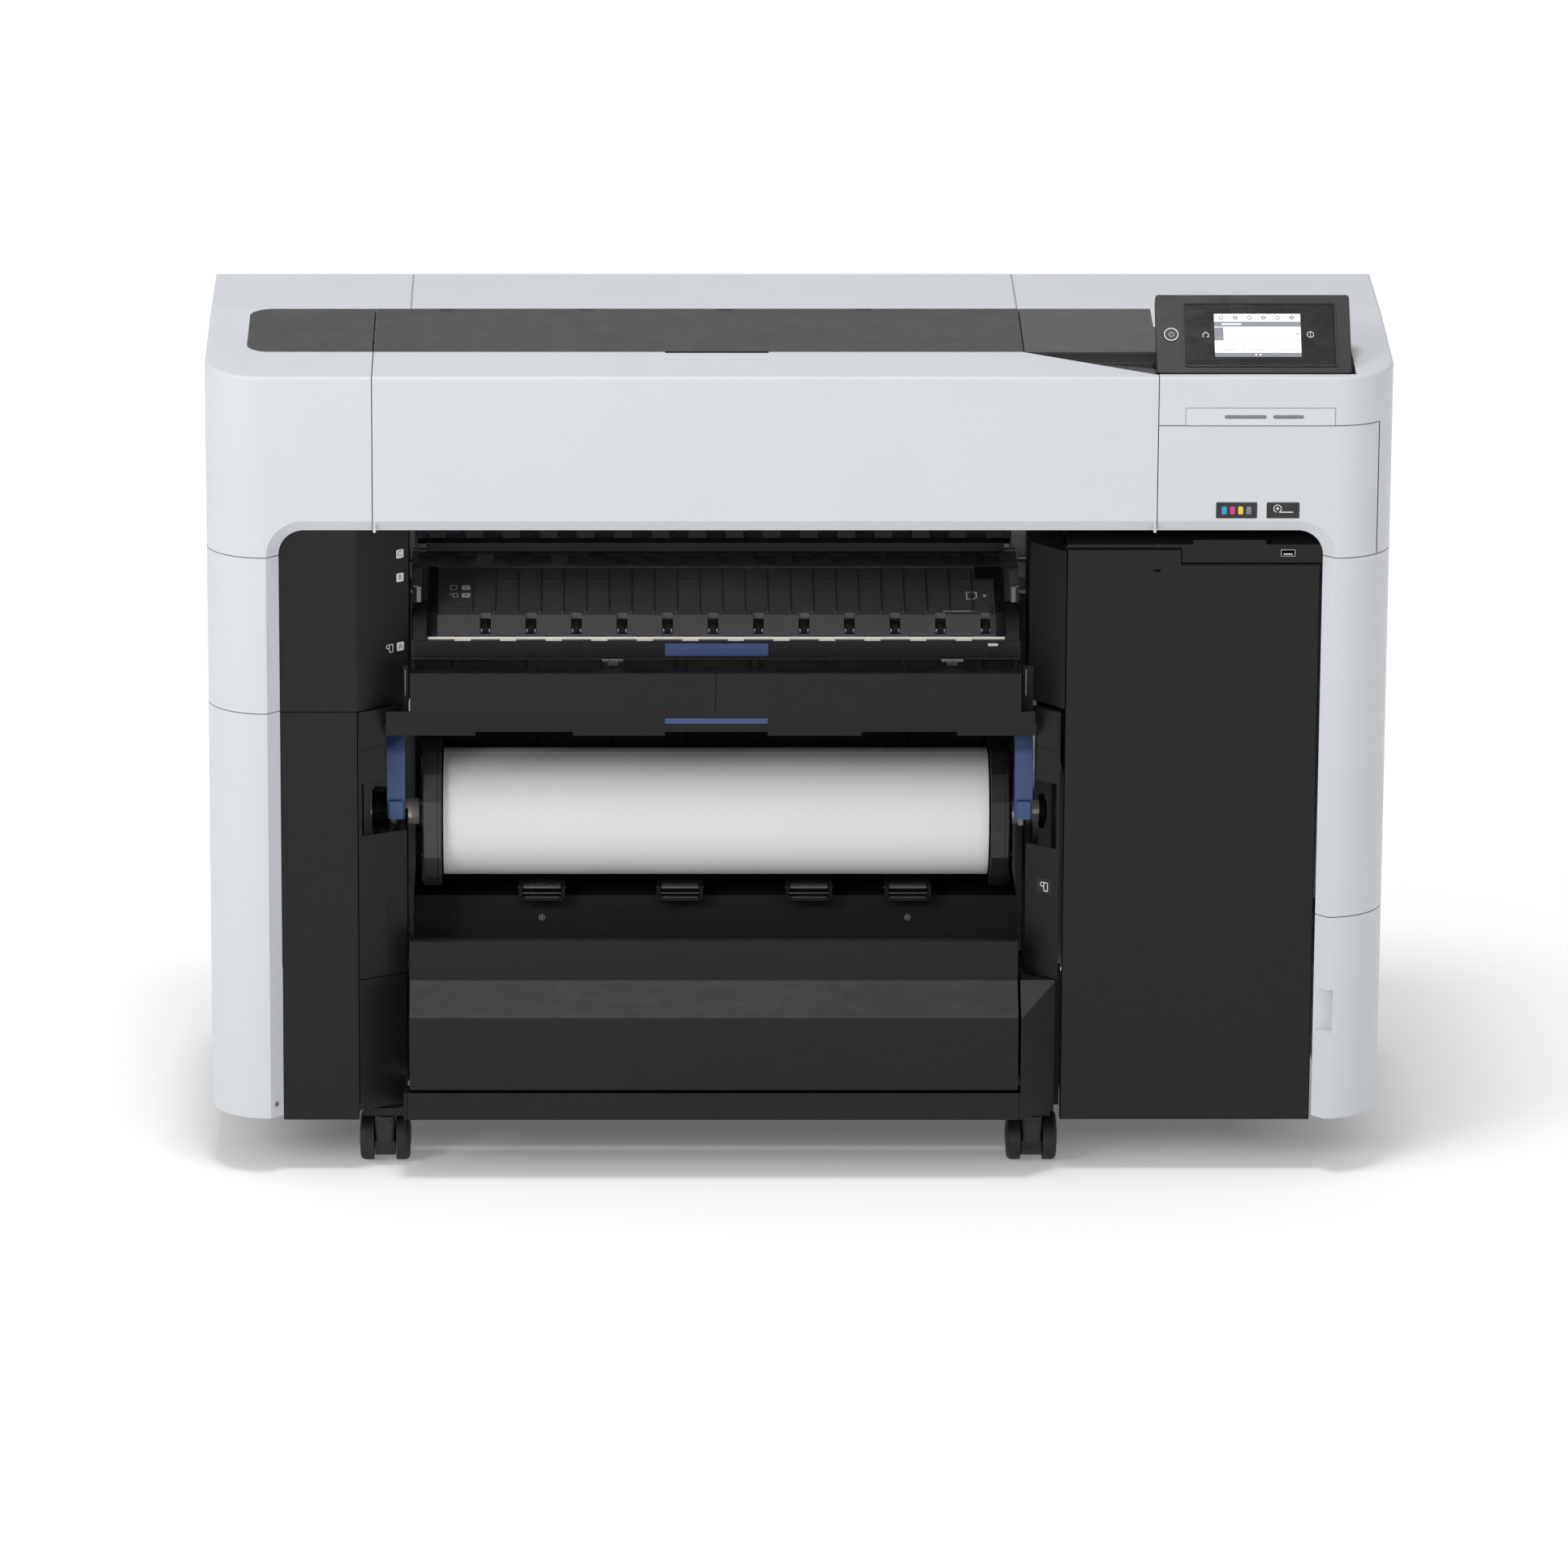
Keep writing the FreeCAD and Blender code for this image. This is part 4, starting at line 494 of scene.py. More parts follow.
def make_display():
    """Bezel and lit display with a plain made-up menu."""
    glass = span("touch_screen")
    spot = panel_face()
    top = GLASS_TOP
    middle_x = display_middle()
    middle_y = DISPLAY_RISE
    wide = glass.right - glass.left
    piece("screen_bezel", "control_panel", "panel_plastic",
          [frame_of(spot, (glass.left + glass.right) / 2, 48, wide + 5, 81, 2.2, -0.2, 0.9, 3),
           frame_of(spot, (glass.left + glass.right) / 2, 48, wide - 8, 66, 0.8, top, top + 0.25, 2)])
    piece("screen_light", "control_panel", "screen_white",
          [prism(spot, pill(middle_x, middle_y, DISPLAY_WIDE, DISPLAY_TALL, 0.8), top - 0.1, top + 0.06)],
          bevel=0)
    lift = (top + 0.05, top + 0.12)
    left = middle_x - DISPLAY_WIDE / 2
    base = middle_y - DISPLAY_TALL / 2
    bars = [prism(spot, pill(middle_x, base + 41, DISPLAY_WIDE, 6.4, 0.1), *lift),
            prism(spot, pill(middle_x, base + 2.6, DISPLAY_WIDE, 5.2, 0.1), *lift),
            prism(spot, pill(left + 5, base + 29, 10, 16, 0.1), *lift)]
    for index in range(6):
        x = left + 8 + index * 15.5
        bars.append(ring(spot, x, base + 49.2, 2.6, 1.5, *lift))
        if index % 2:
            bars.append(prism(spot, pill(x, base + 49.2, 5.4, 1.2, 0.3), *lift))
    piece("screen_menu", "control_panel", "screen_grey", bars, bevel=0)
    lines = [prism(spot, pill(left + 31.5, base + 12.7, 0.7, 15, 0.1), *lift),
             prism(spot, pill(left + 63.5, base + 12.7, 0.7, 15, 0.1), *lift),
             prism(spot, pill(middle_x, base + 20.6, DISPLAY_WIDE, 0.7, 0.1), *lift),
             prism(spot, pill(left + 89, base + 29, 0.7, 17, 0.1), *lift),
             prism(spot, pill(left + 92.2, base + 29, 3.6, 3.6, 1.7), *lift)]
    for index in range(3):
        x = left + 15.5 + index * 32
        lines.append(frame_of(spot, x, base + 15.2, 5.6, 4.4, 0.6, *lift, 0.8))
        lines.append(prism(spot, pill(x, base + 9, 17, 1.3, 0.5), *lift))
    piece("screen_menu_lines", "control_panel", "screen_line", lines, bevel=0)
    over = (lift[1] - 0.01, lift[1] + 0.05)
    marks = [prism(spot, pill(left + 19, base + 41, 22, 1.8, 0.6), *over),
             prism(spot, pill(left + 45, base + 2.6, 2, 2, 0.9), *over),
             prism(spot, pill(left + 50, base + 2.6, 2, 2, 0.9), *over)]
    piece("screen_menu_marks", "control_panel", "screen_white", marks, bevel=0)


def make_power_ring():
    """White ring and power symbol on the button."""
    spot = panel_face()
    button = span("power_button")
    button_x = (button.left + button.right) / 2
    rise = MARK_RISE
    ring_top = 0.85
    piece("power_ring", "power_button", "mark_white",
          [ring(spot, button_x, rise, 8.2, 6.9, ring_top - 0.2, ring_top + 0.15, 48),
           arc_band(spot, button_x, rise, 2.9, 2.25, 125, 290, ring_top - 0.2, ring_top + 0.1),
           prism(spot, pill(button_x, rise + 2.1, 0.7, 2.8, 0.3), ring_top - 0.2, ring_top + 0.1)], bevel=0)


def make_touch_marks():
    """Home and stop marks beside the display, four unlit marks and the small catch on the panel's side."""
    spot = panel_face()
    top = GLASS_TOP
    rise = MARK_RISE
    home_x = display_middle() - DISPLAY_WIDE / 2 - 9.5
    stop_x = display_middle() + DISPLAY_WIDE / 2 + 10.5
    house = [(home_x - 4.2, rise), (home_x, rise + 3.8), (home_x + 4.2, rise), (home_x + 3.4, rise - 0.2),
             (home_x + 3.4, rise - 3.4), (home_x + 0.8, rise - 3.4), (home_x + 0.8, rise - 2.6),
             (home_x + 2.5, rise - 2.6), (home_x + 2.5, rise + 0.4), (home_x, rise + 2.6),
             (home_x - 2.5, rise + 0.4), (home_x - 2.5, rise - 3.4), (home_x - 3.4, rise - 3.4),
             (home_x - 3.4, rise - 0.2)]
    piece("touch_marks", "control_panel", "mark_white",
          [prism(spot, house, top - 0.1, top + 0.08),
           ring(spot, stop_x, rise, 3.9, 3.1, top - 0.1, top + 0.08),
           prism(spot, pill(stop_x, rise, 0.8, 6.6, 0.3), top - 0.1, top + 0.08)], bevel=0)
    faint = []
    for x, y in ((home_x, rise + 20), (home_x, rise - 20), (stop_x, rise + 20), (stop_x, rise - 20)):
        faint.append(ring(spot, x, y, 3.2, 2.6, top - 0.1, top + 0.05))
    piece("unlit_touch_marks", "control_panel", "button_plastic", faint, bevel=0)
    housing = span("control_panel")
    side = face((housing.right, 0, 0), (0, 1, 0), (0, 0, 1))
    piece("panel_side_catch", "control_panel", "deck_plastic",
          [prism(side, [(-213, 944), (-209, 948), (-203, 942), (-207, 938)], -0.3, 0.7)], bevel=0.2)


# ---------------------------------------------------------------- white casing

def make_casing_details():
    """Label plate and two plain badges on the right front."""
    cover = span("right_front_cover")
    spot = front_face(cover.front)
    plate_x = cover.left + 111
    plate_z = cover.top + 10.5
    badge_z = cover.bottom + 54
    piece("name_plate", "root", "label_film",
          [prism(spot, pill(plate_x, plate_z, 163, 19, 0.6), -0.3, 0.35)], bevel=0.15)
    piece("name_plate_bars", "root", "mark_grey",
          [prism(spot, pill(plate_x - 16.5, plate_z, 46, 4.2, 2), 0.3, 0.42),
           prism(spot, pill(plate_x + 30.5, plate_z, 34, 4.2, 2), 0.3, 0.42)], bevel=0)
    badges = [pill(cover.left + 86.5, badge_z, 45, 18, 1), pill(cover.left + 137.5, badge_z, 36, 18, 1)]
    piece("ink_badges", "root", "mark_dark", [prism(spot, outline, -0.3, 0.5) for outline in badges])
    inks = ("ink_cyan", "ink_magenta", "ink_yellow", "mark_grey")
    for index, ink in enumerate(inks):
        piece(f"ink_badge_{ink}", "root", ink,
              [prism(spot, pill(cover.left + 73 + index * 9, badge_z, 5.5, 9, 1.5), 0.45, 0.6)], bevel=0)
    roll_x = cover.left + 131.5
    sheet = rectangle(roll_x - 1, roll_x + 17, badge_z - 2.6, badge_z - 1.4)
    piece("badge_roll_mark", "root", "mark_white",
          [ring(spot, roll_x, badge_z + 2, 4.6, 3.6, 0.45, 0.6),
           prism(spot, sheet, 0.45, 0.6),
           ring(spot, roll_x, badge_z + 2, 1.6, 0.4, 0.45, 0.6)], bevel=0)
    piece("name_plate_rim", "root", "seam_grey",
          [frame_of(spot, plate_x, plate_z, 164.5, 20.5, 0.45, -0.3, 0.3, 0.8)], bevel=0)


def make_chamfer_screw():
    """Small screw in its ring, low on the left front corner."""
    cover = span("left_lower_cover")
    chamfer = face((cover.right - 20, cover.front + 6.5, cover.bottom + 15), (1, 1, 0), (0, 0, 1))
    piece("chamfer_screw_ring", "root", "white_plastic",
          [band(chamfer, disc(0, 0, 6.4), disc(0, 0, 5.2), -0.5, 0.6)], bevel=0.3)
    piece("chamfer_screw_pit", "root", "seam_grey", [prism(chamfer, disc(0, 0, 5.3), -0.5, 0.1)], bevel=0)
    piece("chamfer_screw", "root", "screw_steel", [prism(chamfer, disc(0, 0, 3.5), -0.5, 0.6)], bevel=0.5)
    piece("chamfer_screw_cross", "root", "mark_dark", screw_cross(chamfer, 0, 0, 3.5), bevel=0)


def make_roof_slots():
    """Narrow hinge slots along the rear edge of the dark window."""
    roof = span("cover_window")
    slot_face = face((0, roof.back, roof.top), (1, 0, 0), (0, 1, 0))
    slots = [prism(slot_face, pill(x, -2.4, 17, 3, 0.5), -1.4, 0.12)
             for x in range(int(roof.left) + 78, int(roof.right) - 20, 155)]
    piece("roof_hinge_slots", "front_cover", "mark_dark", slots, bevel=0)


# ---------------------------------------------------------------- black front

def roll_mark(spot, x, y, size, low, high):
    """Outline of a roll with its sheet hanging down."""
    r = size * 0.26
    return [ring(spot, x - size * 0.2, y + size * 0.2, r, r * 0.62, low, high),
            prism(spot, [(x - size * 0.2, y + size * 0.46), (x + size * 0.5, y + size * 0.46),
                         (x + size * 0.5, y + size * 0.36), (x - size * 0.2, y + size * 0.36)], low, high),
            prism(spot, [(x + size * 0.4, y + size * 0.46), (x + size * 0.5, y + size * 0.46),
                         (x + size * 0.5, y - size * 0.5), (x + size * 0.4, y - size * 0.5)], low, high),
            prism(spot, [(x - size * 0.05, y - size * 0.5), (x + size * 0.5, y - size * 0.5),
                         (x + size * 0.5, y - size * 0.4), (x - size * 0.05, y - size * 0.4)], low, high),
            prism(spot, [(x - size * 0.05, y - size * 0.5), (x + size * 0.05, y - size * 0.5),
                         (x + size * 0.05, y - size * 0.02), (x - size * 0.05, y - size * 0.02)], low, high)]


def sheet_mark(spot, x, y, size, low, high):
    """Outline of one sheet with a folded corner."""
    w = size * 0.36
    h = size * 0.5
    outer = [(x - w, y - h), (x + w * 0.3, y - h), (x + w, y - h * 0.5), (x + w, y + h), (x - w, y + h)]
    inner = [(x - w * 0.74, y - h * 0.8), (x + w * 0.2, y - h * 0.8), (x + w * 0.74, y - h * 0.42),
             (x + w * 0.74, y + h * 0.8), (x - w * 0.74, y + h * 0.8)]
    return [band(spot, outer, inner, low, high)]


def tag(name, body, spot, text, x, y, size):
    """A white rounded square with a grey tray letter."""
    piece(f"tag_{name}", body, "mark_white",
          [prism(spot, pill(x, y, size, size, size * 0.16), -0.1, 0.12)], bevel=0)
    piece(f"tag_{name}_letter", body, "mark_grey",
          [letter(spot, text, x, y, size * 0.62, 0.1, 0.2)], bevel=0)


def slanted_face(node, bend, inner_front):
    """The inner slanted face of a left block: it starts at the bend and runs back to the throat."""
    block = span(node)
    return face((bend, block.front, 0), (block.right - bend, inner_front - block.front, 0), (0, 0, 1))


def make_front_marks():
    """Tray letters, roll and sheet marks on the black front."""
    bend = span("left_cabinet_cover").right
    left = slanted_face("left_upper_fascia", bend, -220)
    foot = span("left_upper_fascia").bottom
    for text, height in (("C", 171), ("B", 144), ("A", 65)):
        tag(f"fascia_{text}", "root", left, text, 61, foot + height, 10)
    piece("roll_mark_fascia", "root", "mark_white", roll_mark(left, 46, foot + 65, 10, -0.1, 0.12), bevel=0)

    guide = span("paper_guide")
    bar = front_face(guide.front)
    arrow = [(guide.left + 2, guide.bottom + 15), (guide.left + 9, guide.bottom + 19),
             (guide.left + 9, guide.bottom + 11)]
    piece("guide_arrow", "paper_guide", "mark_white", [prism(bar, arrow, -0.1, 0.15)], bevel=0)
    upper = guide_face()
    tag("guide_B", "paper_guide", upper, "B", guide.left + 59, 60, 9.5)
    tag("guide_A", "paper_guide", upper, "A", guide.left + 59, 43, 9.5)
    piece("guide_left_marks", "paper_guide", "mark_white",
          sheet_mark(upper, guide.left + 45, 60, 11, -0.1, 0.12)
          + roll_mark(upper, guide.left + 45, 43, 10, -0.1, 0.12), bevel=0)
    end = guide.right
    piece("guide_right_marks", "paper_guide", "mark_white",
          sheet_mark(upper, end - 52, 42, 17, -0.1, 0.12)
          + [prism(upper, [(end - 39, 38), (end - 35, 42), (end - 39, 46)], -0.1, 0.12),
             prism(upper, rectangle(end - 85, end - 49, 7, 8.2), -0.1, 0.12)], bevel=0)

    right = right_column_face()
    piece("roll_label", "root", "panel_plastic",
          [prism(right, pill(25.5, 105, 21, 17, 1), -0.2, 0.35)], bevel=0.15)
    piece("roll_label_mark", "root", "mark_white", roll_mark(right, 25.5, 105, 11, 0.3, 0.42), bevel=0)


def left_column_face():
    """Slanted face of the left column; u runs inwards and v up from the column's foot."""
    column = span("left_inner_column")
    return face((column.left, column.front, column.bottom), (53, 28, 0), (0, 0, 1))


def right_column_face():
    """Slanted face of the right column; u runs outwards and v up from the column's foot."""
    column = span("right_inner_column")
    return face((column.left, column.front + 28, column.bottom), (35.5, -28, 0), (0, 0, 1))


def make_column_panels():
    """Seams that split the slanted column faces into blocks."""
    left = left_column_face()
    right = right_column_face()
    depth = (-0.4, 0.15)
    piece("left_column_seams", "root", "liner_plastic",
          [prism(left, [(0.5, 263.6), (33, 266.8), (33, 268.6), (0.5, 265.4)], *depth),
           prism(left, rectangle(0.3, 3.0, 273, 307), *depth),
           prism(left, rectangle(36.4, 37.8, 2, 88), *depth),
           prism(left, [(36.4, 86.8), (59.5, 89), (59.5, 90.6), (36.4, 88.4)], *depth)], bevel=0)
    piece("right_column_seams", "root", "liner_plastic",
          [prism(right, [(12, 267.8), (44, 264.4), (44, 262.4), (12, 265.8)], *depth),
           prism(right, rectangle(41.6, 44, 271, 307), *depth)], bevel=0)


def make_fascia_panels():
    """Small steel strips beside the roll cover, fillers behind them, and caps on the frame's front edge."""
    cover = span("roll_cover")
    strips = []
    fillers = []
    spot = front_face(cover.front + 22)
    for x, low, high in ((cover.left + 21.5, cover.left + 19, cover.left + 25),
                         (cover.right - 10, cover.right - 13, cover.right - 2)):
        strips.append(prism(spot, pill(x, cover.bottom + 59, 1.6, 30, 0.5), 0, 0.8))
        fillers.append(prism(spot, rectangle(low, high, cover.bottom + 23, cover.top + 3), -3, 0))
    piece("fascia_steel_strips", "root", "dark_steel", strips, bevel=0.2)
    piece("fascia_gap_fillers", "root", "liner_plastic", fillers)
    base = span("base_frame")
    frame_edge = front_face(base.front)
    left_wheels = span("front_left_wheels")
    right_wheels = span("front_right_wheels")
    caps = [prism(frame_edge, rectangle(low, high, base.bottom - 2, base.bottom + 7), -0.2, 1)
            for low, high in ((left_wheels.left + 4, left_wheels.right - 6),
                              (right_wheels.left + 15, right_wheels.right - 8))]
    piece("frame_toe_caps", "root", "black_plastic", caps)


def make_seams():
    """Dark bottoms of the narrow gaps between the white covers."""
    cover = span("front_cover")
    roof = span("rear_top_cover")
    shapes = []
    for x in (cover.left - 0.5, cover.right + 0.5):
        shapes.append(prism(face((x, cover.front + 0.7, 0), (1, 0, 0), (0, 0, 1)),
                            rectangle(-0.9, 0.9, cover.bottom + 15, cover.top - 24), -1.2, 0))
        flare = face((x, cover.front, cover.bottom + 13.5), (1, 0, 0), (0, -1, 1))
        shapes.append(prism(flare, rectangle(-0.9, 0.9, -18, 0.5), -1.4, -0.5))
    piece("cover_seams", "root", "mark_dark", shapes, bevel=0)
    roof_lines = []
    for x in (roof.left - 0.5, roof.right + 0.5):
        flat = face((x, 0, 940.3 - 0.9), (1, 0, 0), (0, 155, 4))
        roof_lines.append(prism(flat, rectangle(-0.9, 0.9, -34, 112), -1.4, -0.2))
    piece("roof_seams", "root", "seam_grey", roof_lines, bevel=0)


def make_usb_details():
    """Chrome frame and tongue in the memory stick socket, and the lines of its moulded block."""
    shelf = span("usb_shelf")
    spot = front_face(shelf.front)
    socket = shelf.left + 243
    foot = shelf.bottom
    piece("usb_frame", "root", "roller_metal",
          [frame_of(spot, socket, foot + 11, 16.4, 8.4, 0.9, -4.0, -0.6, 0.8),
           prism(spot, pill(socket, foot + 9.6, 10, 1.6, 0.3), -6, -1)], bevel=0)
    seam = shelf.left + 93
    piece("usb_block_lines", "root", "mark_dark",
          [frame_of(spot, socket, foot + 10.5, 51, 19, 0.5, -0.3, 0.2, 2.5),
           prism(spot, [(seam, foot - 1.4), (seam + 7, foot + 22), (seam + 7.8, foot + 22),
                        (seam + 0.8, foot - 1.4)], -0.3, 0.2)], bevel=0)


def make_lever_details():
    """Raised grip at the foot of each lever and the steel catch below it."""
    for name in ("left_lock_lever", "right_lock_lever"):
        lever = span(name)
        body = name.replace("_lock", "")
        middle = (lever.left + lever.right) / 2
        spot = front_face(lever.front)
        wide = lever.right - lever.left
        piece(name + "_grip", body, "blue_plastic",
              [prism(spot, pill(middle, lever.bottom + 12, wide - 4, 21, 2), -0.5, 1.6)], bevel=0.6)
        piece(name + "_catch", body, "dark_steel",
              [prism(spot, pill(middle - 3, lever.bottom - 3, 6, 8, 0.8), -7, -4)], bevel=0.3)


def make_tray_details():
    """Bright edges at the ends of the tray, screws below the outer brackets and rods on every bracket."""
    liner = span("bay_liner")
    brackets = span("roller_brackets")
    places = [brackets.left + step for step in (26, 181, 326, 437)]
    low_end = face((0, liner.front + 29, liner.bottom + 62), (1, 0, 0), (0, 50, 144))
    lines = [prism(low_end, rectangle(x - 0.6, x + 0.6, 44, 62), -0.2, 0.4)
             for x in (liner.left + 15, liner.right - 16.5)]
    piece("tray_end_lines", "root", "seam_grey", lines, bevel=0)
    tray = face((0, liner.front + 50, liner.bottom + 148), (1, 0, 0), (0, 50, 144))
    rings = []
    for x in (places[0], places[-1]):
        rings.append(band(tray, disc(x, -12, 3.4, 24), disc(x, -12, 2.6, 24), -0.3, 0.4))
        rings.append(prism(tray, disc(x, -12, 1.3, 16), -0.3, 0.4))
    piece("tray_screws", "root", "seam_grey", rings, bevel=0)
    rods = []
    for x in places:
        for reach, rise in ((22, 11), (20, 6)):
            outline = [(-reach, 0.6), (0.5 - reach, 1.3), (reach - 0.5, 1.3), (reach, 0.6)]
            rods.append(lathe("X", (x, brackets.back - 34.5, brackets.bottom + rise), outline, 20))
    piece("bracket_rods", "root", "dark_steel", rods, bevel=0)


def roll_axis():
    """Depth and height of the roll's axis."""
    paper = span("paper_roll")
    return (paper.front + paper.back) / 2, (paper.bottom + paper.top) / 2


def make_flange_details():
    """Hole in the right flange's rim and a groove round each rim."""
    paper = span("paper_roll")
    axis_y, axis_z = roll_axis()
    turn = math.radians(180 + 28)
    out = Vector((0, math.cos(turn), math.sin(turn)))
    place = Vector((paper.right + 12, axis_y, axis_z)) + out * 82.6
    rim = face(place, (1, 0, 0), out.cross(Vector((1, 0, 0))))
    piece("right_flange_hole", "roll", "liner_plastic", [prism(rim, disc(0, 0, 4.6, 28), -1, 0.35)], bevel=0)
    grooves = [tube("X", (0, axis_y, axis_z), [(x, 82), (x, 84.15), (x + 0.7, 84.15), (x + 0.7, 82)], 16)
               for x in (paper.right + 17.5, paper.left - 6.5)]
    piece("flange_grooves", "roll", "liner_plastic", grooves, bevel=0, sharp=15)


def make_caster_details():
    """Pin holes and top line on each caster housing, and a cap on each end of its axle."""
    for name in ("front_left", "front_right", "rear_left", "rear_right"):
        housing = span(name + "_caster")
        wheels = span(name + "_wheels")
        middle = (housing.left + housing.right) / 2
        spot = front_face(housing.front)
        piece(name + "_caster_marks", name + "_swivel", "mark_dark",
              [prism(spot, disc(middle - 7, housing.bottom + 42, 1.4, 20), -0.2, 0.2),
               prism(spot, disc(middle + 7, housing.bottom + 42, 1.4, 20), -0.2, 0.2),
               prism(spot, pill(middle, housing.bottom + 47.5, 17, 0.8, 0.3), -0.2, 0.2)], bevel=0)
        depth = (wheels.front + wheels.back) / 2
        height = (wheels.bottom + wheels.top) / 2
        caps = []
        for end, way in ((wheels.left, -1), (wheels.right, 1)):
            profile = [(-0.5, 12), (0.3, 12), (0.8, 10.5), (0.8, 4), (0.2, 3)]
            caps.append(lathe("X", (end, depth, height), [(way * a, r) for a, r in profile], 40))
        piece(name + "_axle_caps", name + "_wheel", "caster_plastic", caps, bevel=0)


def guide_face():
    """The long upper slope of the exit guide; v runs up the slope from its lower edge."""
    guide = span("paper_guide")
    return face((0, guide.front + 23, guide.bottom + 45), (1, 0, 0), (0, 100, 27))


def make_guide_rollers():
    """Rollers in the guide's windows and the shaft in front of them, bright with the painted highlight of its
    steel finish.
    """
    guide = span("paper_guide")
    axle = (guide.front + 20, guide.bottom + 28)
    rollers = []
    hubs = []
    for index in range(12):
        x = guide.left + 81 + index * 50.5
        rollers.append(lathe("X", (x - 3.5, *axle), [(0, 6.5), (0.8, 8), (6.2, 8), (7, 6.5)], 32))
        hubs.append(lathe("X", (x - 5.6, *axle), [(0, 2.4), (0.4, 2.8), (10.8, 2.8), (11.2, 2.4)], 20))
    piece("guide_rollers", "paper_guide", "rubber", rollers, bevel=0)
    piece("guide_roller_hubs", "paper_guide", "roller_metal", hubs, bevel=0)
    length = guide.right - guide.left - 8
    piece("guide_shaft", "paper_guide", "spindle_steel",
          [lathe("X", (guide.left + 4, guide.front + 4.4, guide.bottom + 19.6),
                 [(0, 2.2), (0.6, 2.8), (length - 0.6, 2.8), (length, 2.2)], 24)], bevel=0)


def make_guide_front():
    """Front bar with its notches, blue handle, end roller and the bright line behind the bar, a thin rod
    whose steel finish carries a painted highlight.
    """
    guide = span("paper_guide")
    front = front_face(guide.front)
    middle = (guide.left + guide.right) / 2
    foot = guide.bottom
    piece("guide_handle", "paper_guide", "blue_plastic",
          [prism(front, pill(middle + 0.5, foot + 11.5, 115, 15, 1.6), -0.5, 3.2)], bevel=0.8)
    piece("guide_front_bar", "paper_guide", "black_plastic",
          [prism(front, pill(middle, foot + 11, guide.right - guide.left - 1, 20, 0.6), -0.3, 0.8)])
    notches = []
    for step, rise in ((55, 18), (187, 18), (266, 3.5), (134, 3.5),
                       (565, 18), (651, 18), (469, 3.5), (621, 3.5)):
        notches.append(prism(front, pill(guide.left + step, foot + rise, 4, 4.5, 0.4), 0.7, 0.95))
    notches.append(prism(front, pill(guide.left + 644, foot + 6, 12, 9, 0.4), 0.7, 0.95))
    piece("guide_bar_notches", "paper_guide", "liner_plastic", notches, bevel=0)
    piece("guide_end_roller", "paper_guide", "mark_white",
          [lathe("X", (guide.left + 638, guide.front - 1.2, foot + 17),
                 [(0, 1.2), (0.5, 1.7), (11, 1.7), (11.5, 1.2)], 20)], bevel=0)
    piece("guide_shaft_line", "paper_guide", "spindle_steel",
          [lathe("X", (guide.left + 13, guide.front + 5.4, foot + 23.2),
                 [(0, 0.9), (0.4, 1.3), (651, 1.3), (651.4, 0.9)], 16)], bevel=0)


def make_guide_ends():
    """Drum, dark gap, scale and spring hook at the ends of the guide."""
    guide = span("paper_guide")
    drums = []
    gaps = []
    lower = face((0, guide.front + 6, guide.bottom + 23), (1, 0, 0), (0, 17, 22))
    upper = guide_face()
    start = guide.left
    end = guide.right
    for low, high, gap_low, gap_high in ((start, start + 17, start + 17, start + 27.5),
                                         (end - 17, end, end - 26, end - 17)):
        outline = [(low, 30), (low + 1, 33), (high - 1, 33), (high, 30)]
        drums.append(lathe("X", (0, guide.front + 33, guide.bottom + 24), outline, 64))
        gaps.append(prism(lower, rectangle(gap_low, gap_high, 0, 27.6), -0.4, 0.5))
        gaps.append(prism(upper, rectangle(gap_low, gap_high, 0, 103), -0.4, 2.2))
    gaps.append(prism(upper, rectangle(end - 47, end - 25, 78, 103), -0.4, 2.4))
    piece("guide_end_drums", "paper_guide", "black_plastic", drums, bevel=0)
    piece("guide_end_gaps", "paper_guide", "liner_plastic", gaps, bevel=0.2)
    steps = [prism(slope, rectangle(end - 33, end - 26.5, 1 + k * 6.6, 7 + k * 6.6), -0.3, 0.7)
             for slope, count in ((lower, 4), (upper, 3)) for k in range(count)]
    piece("guide_end_scale", "paper_guide", "flange_plastic", steps, bevel=0.2)
    pins = []
    for low, high, plate in ((start + 0.5, start + 7, start + 6), (end - 7, end - 0.5, end - 8)):
        outline = [(0, 1.4), (0.4, 1.8), (high - low - 0.4, 1.8), (high - low, 1.4)]
        pins.append(lathe("X", (low, guide.front + 27, guide.bottom + 77), outline, 20))
        hook = face((plate + 1, guide.front + 25, guide.bottom + 69), (1, 0, 0), (0, 0, 1))
        pins.append(prism(hook, pill(0, -1, 5, 18, 0.5), 0, 1.2))
    piece("guide_spring_hooks", "paper_guide", "dark_steel", pins, bevel=0.2)


def make_guide_surface():
    """Rows of low ribs across the upper slope, and the two latches under the front bar."""
    guide = span("paper_guide")
    front = front_face(guide.front)
    upper = guide_face()
    lines = []
    for v, height in ((24, 0.7), (48, 0.7), (74, 0.9)):
        for k in range(12):
            start = guide.left + 33 + k * 50.5
            lines.append(prism(upper, rectangle(start, start + 36, v, v + height), -0.3, 0.35))
    piece("guide_cross_ribs", "paper_guide", "guide_plastic", lines, bevel=0.1)
    latches = []
    foot = guide.bottom
    for x in (guide.left + 222, guide.left + 599):
        outline = [(x - 12, foot), (x + 12, foot), (x + 12, foot - 3), (x + 6, foot - 3),
                   (x + 6, foot - 7), (x - 6, foot - 7), (x - 6, foot - 3), (x - 12, foot - 3)]
        latches.append(prism(front, outline, -4, 0.5))
    piece("guide_latches", "paper_guide", "roller_metal", latches, bevel=0.4)


def make_roll_cover_details():
    """Blue strip on the lip of the cover above the roll."""
    cover = span("roll_cover")
    spot = face((0, cover.front, cover.bottom + 31), (1, 0, 0), (0, -13, 31))
    piece("roll_cover_strip", "roll_cover", "blue_plastic",
          [prism(spot, pill(cover.left + 366, -12.4, 114, 7.6, 0.8), -0.2, 0.7)], bevel=0.3)


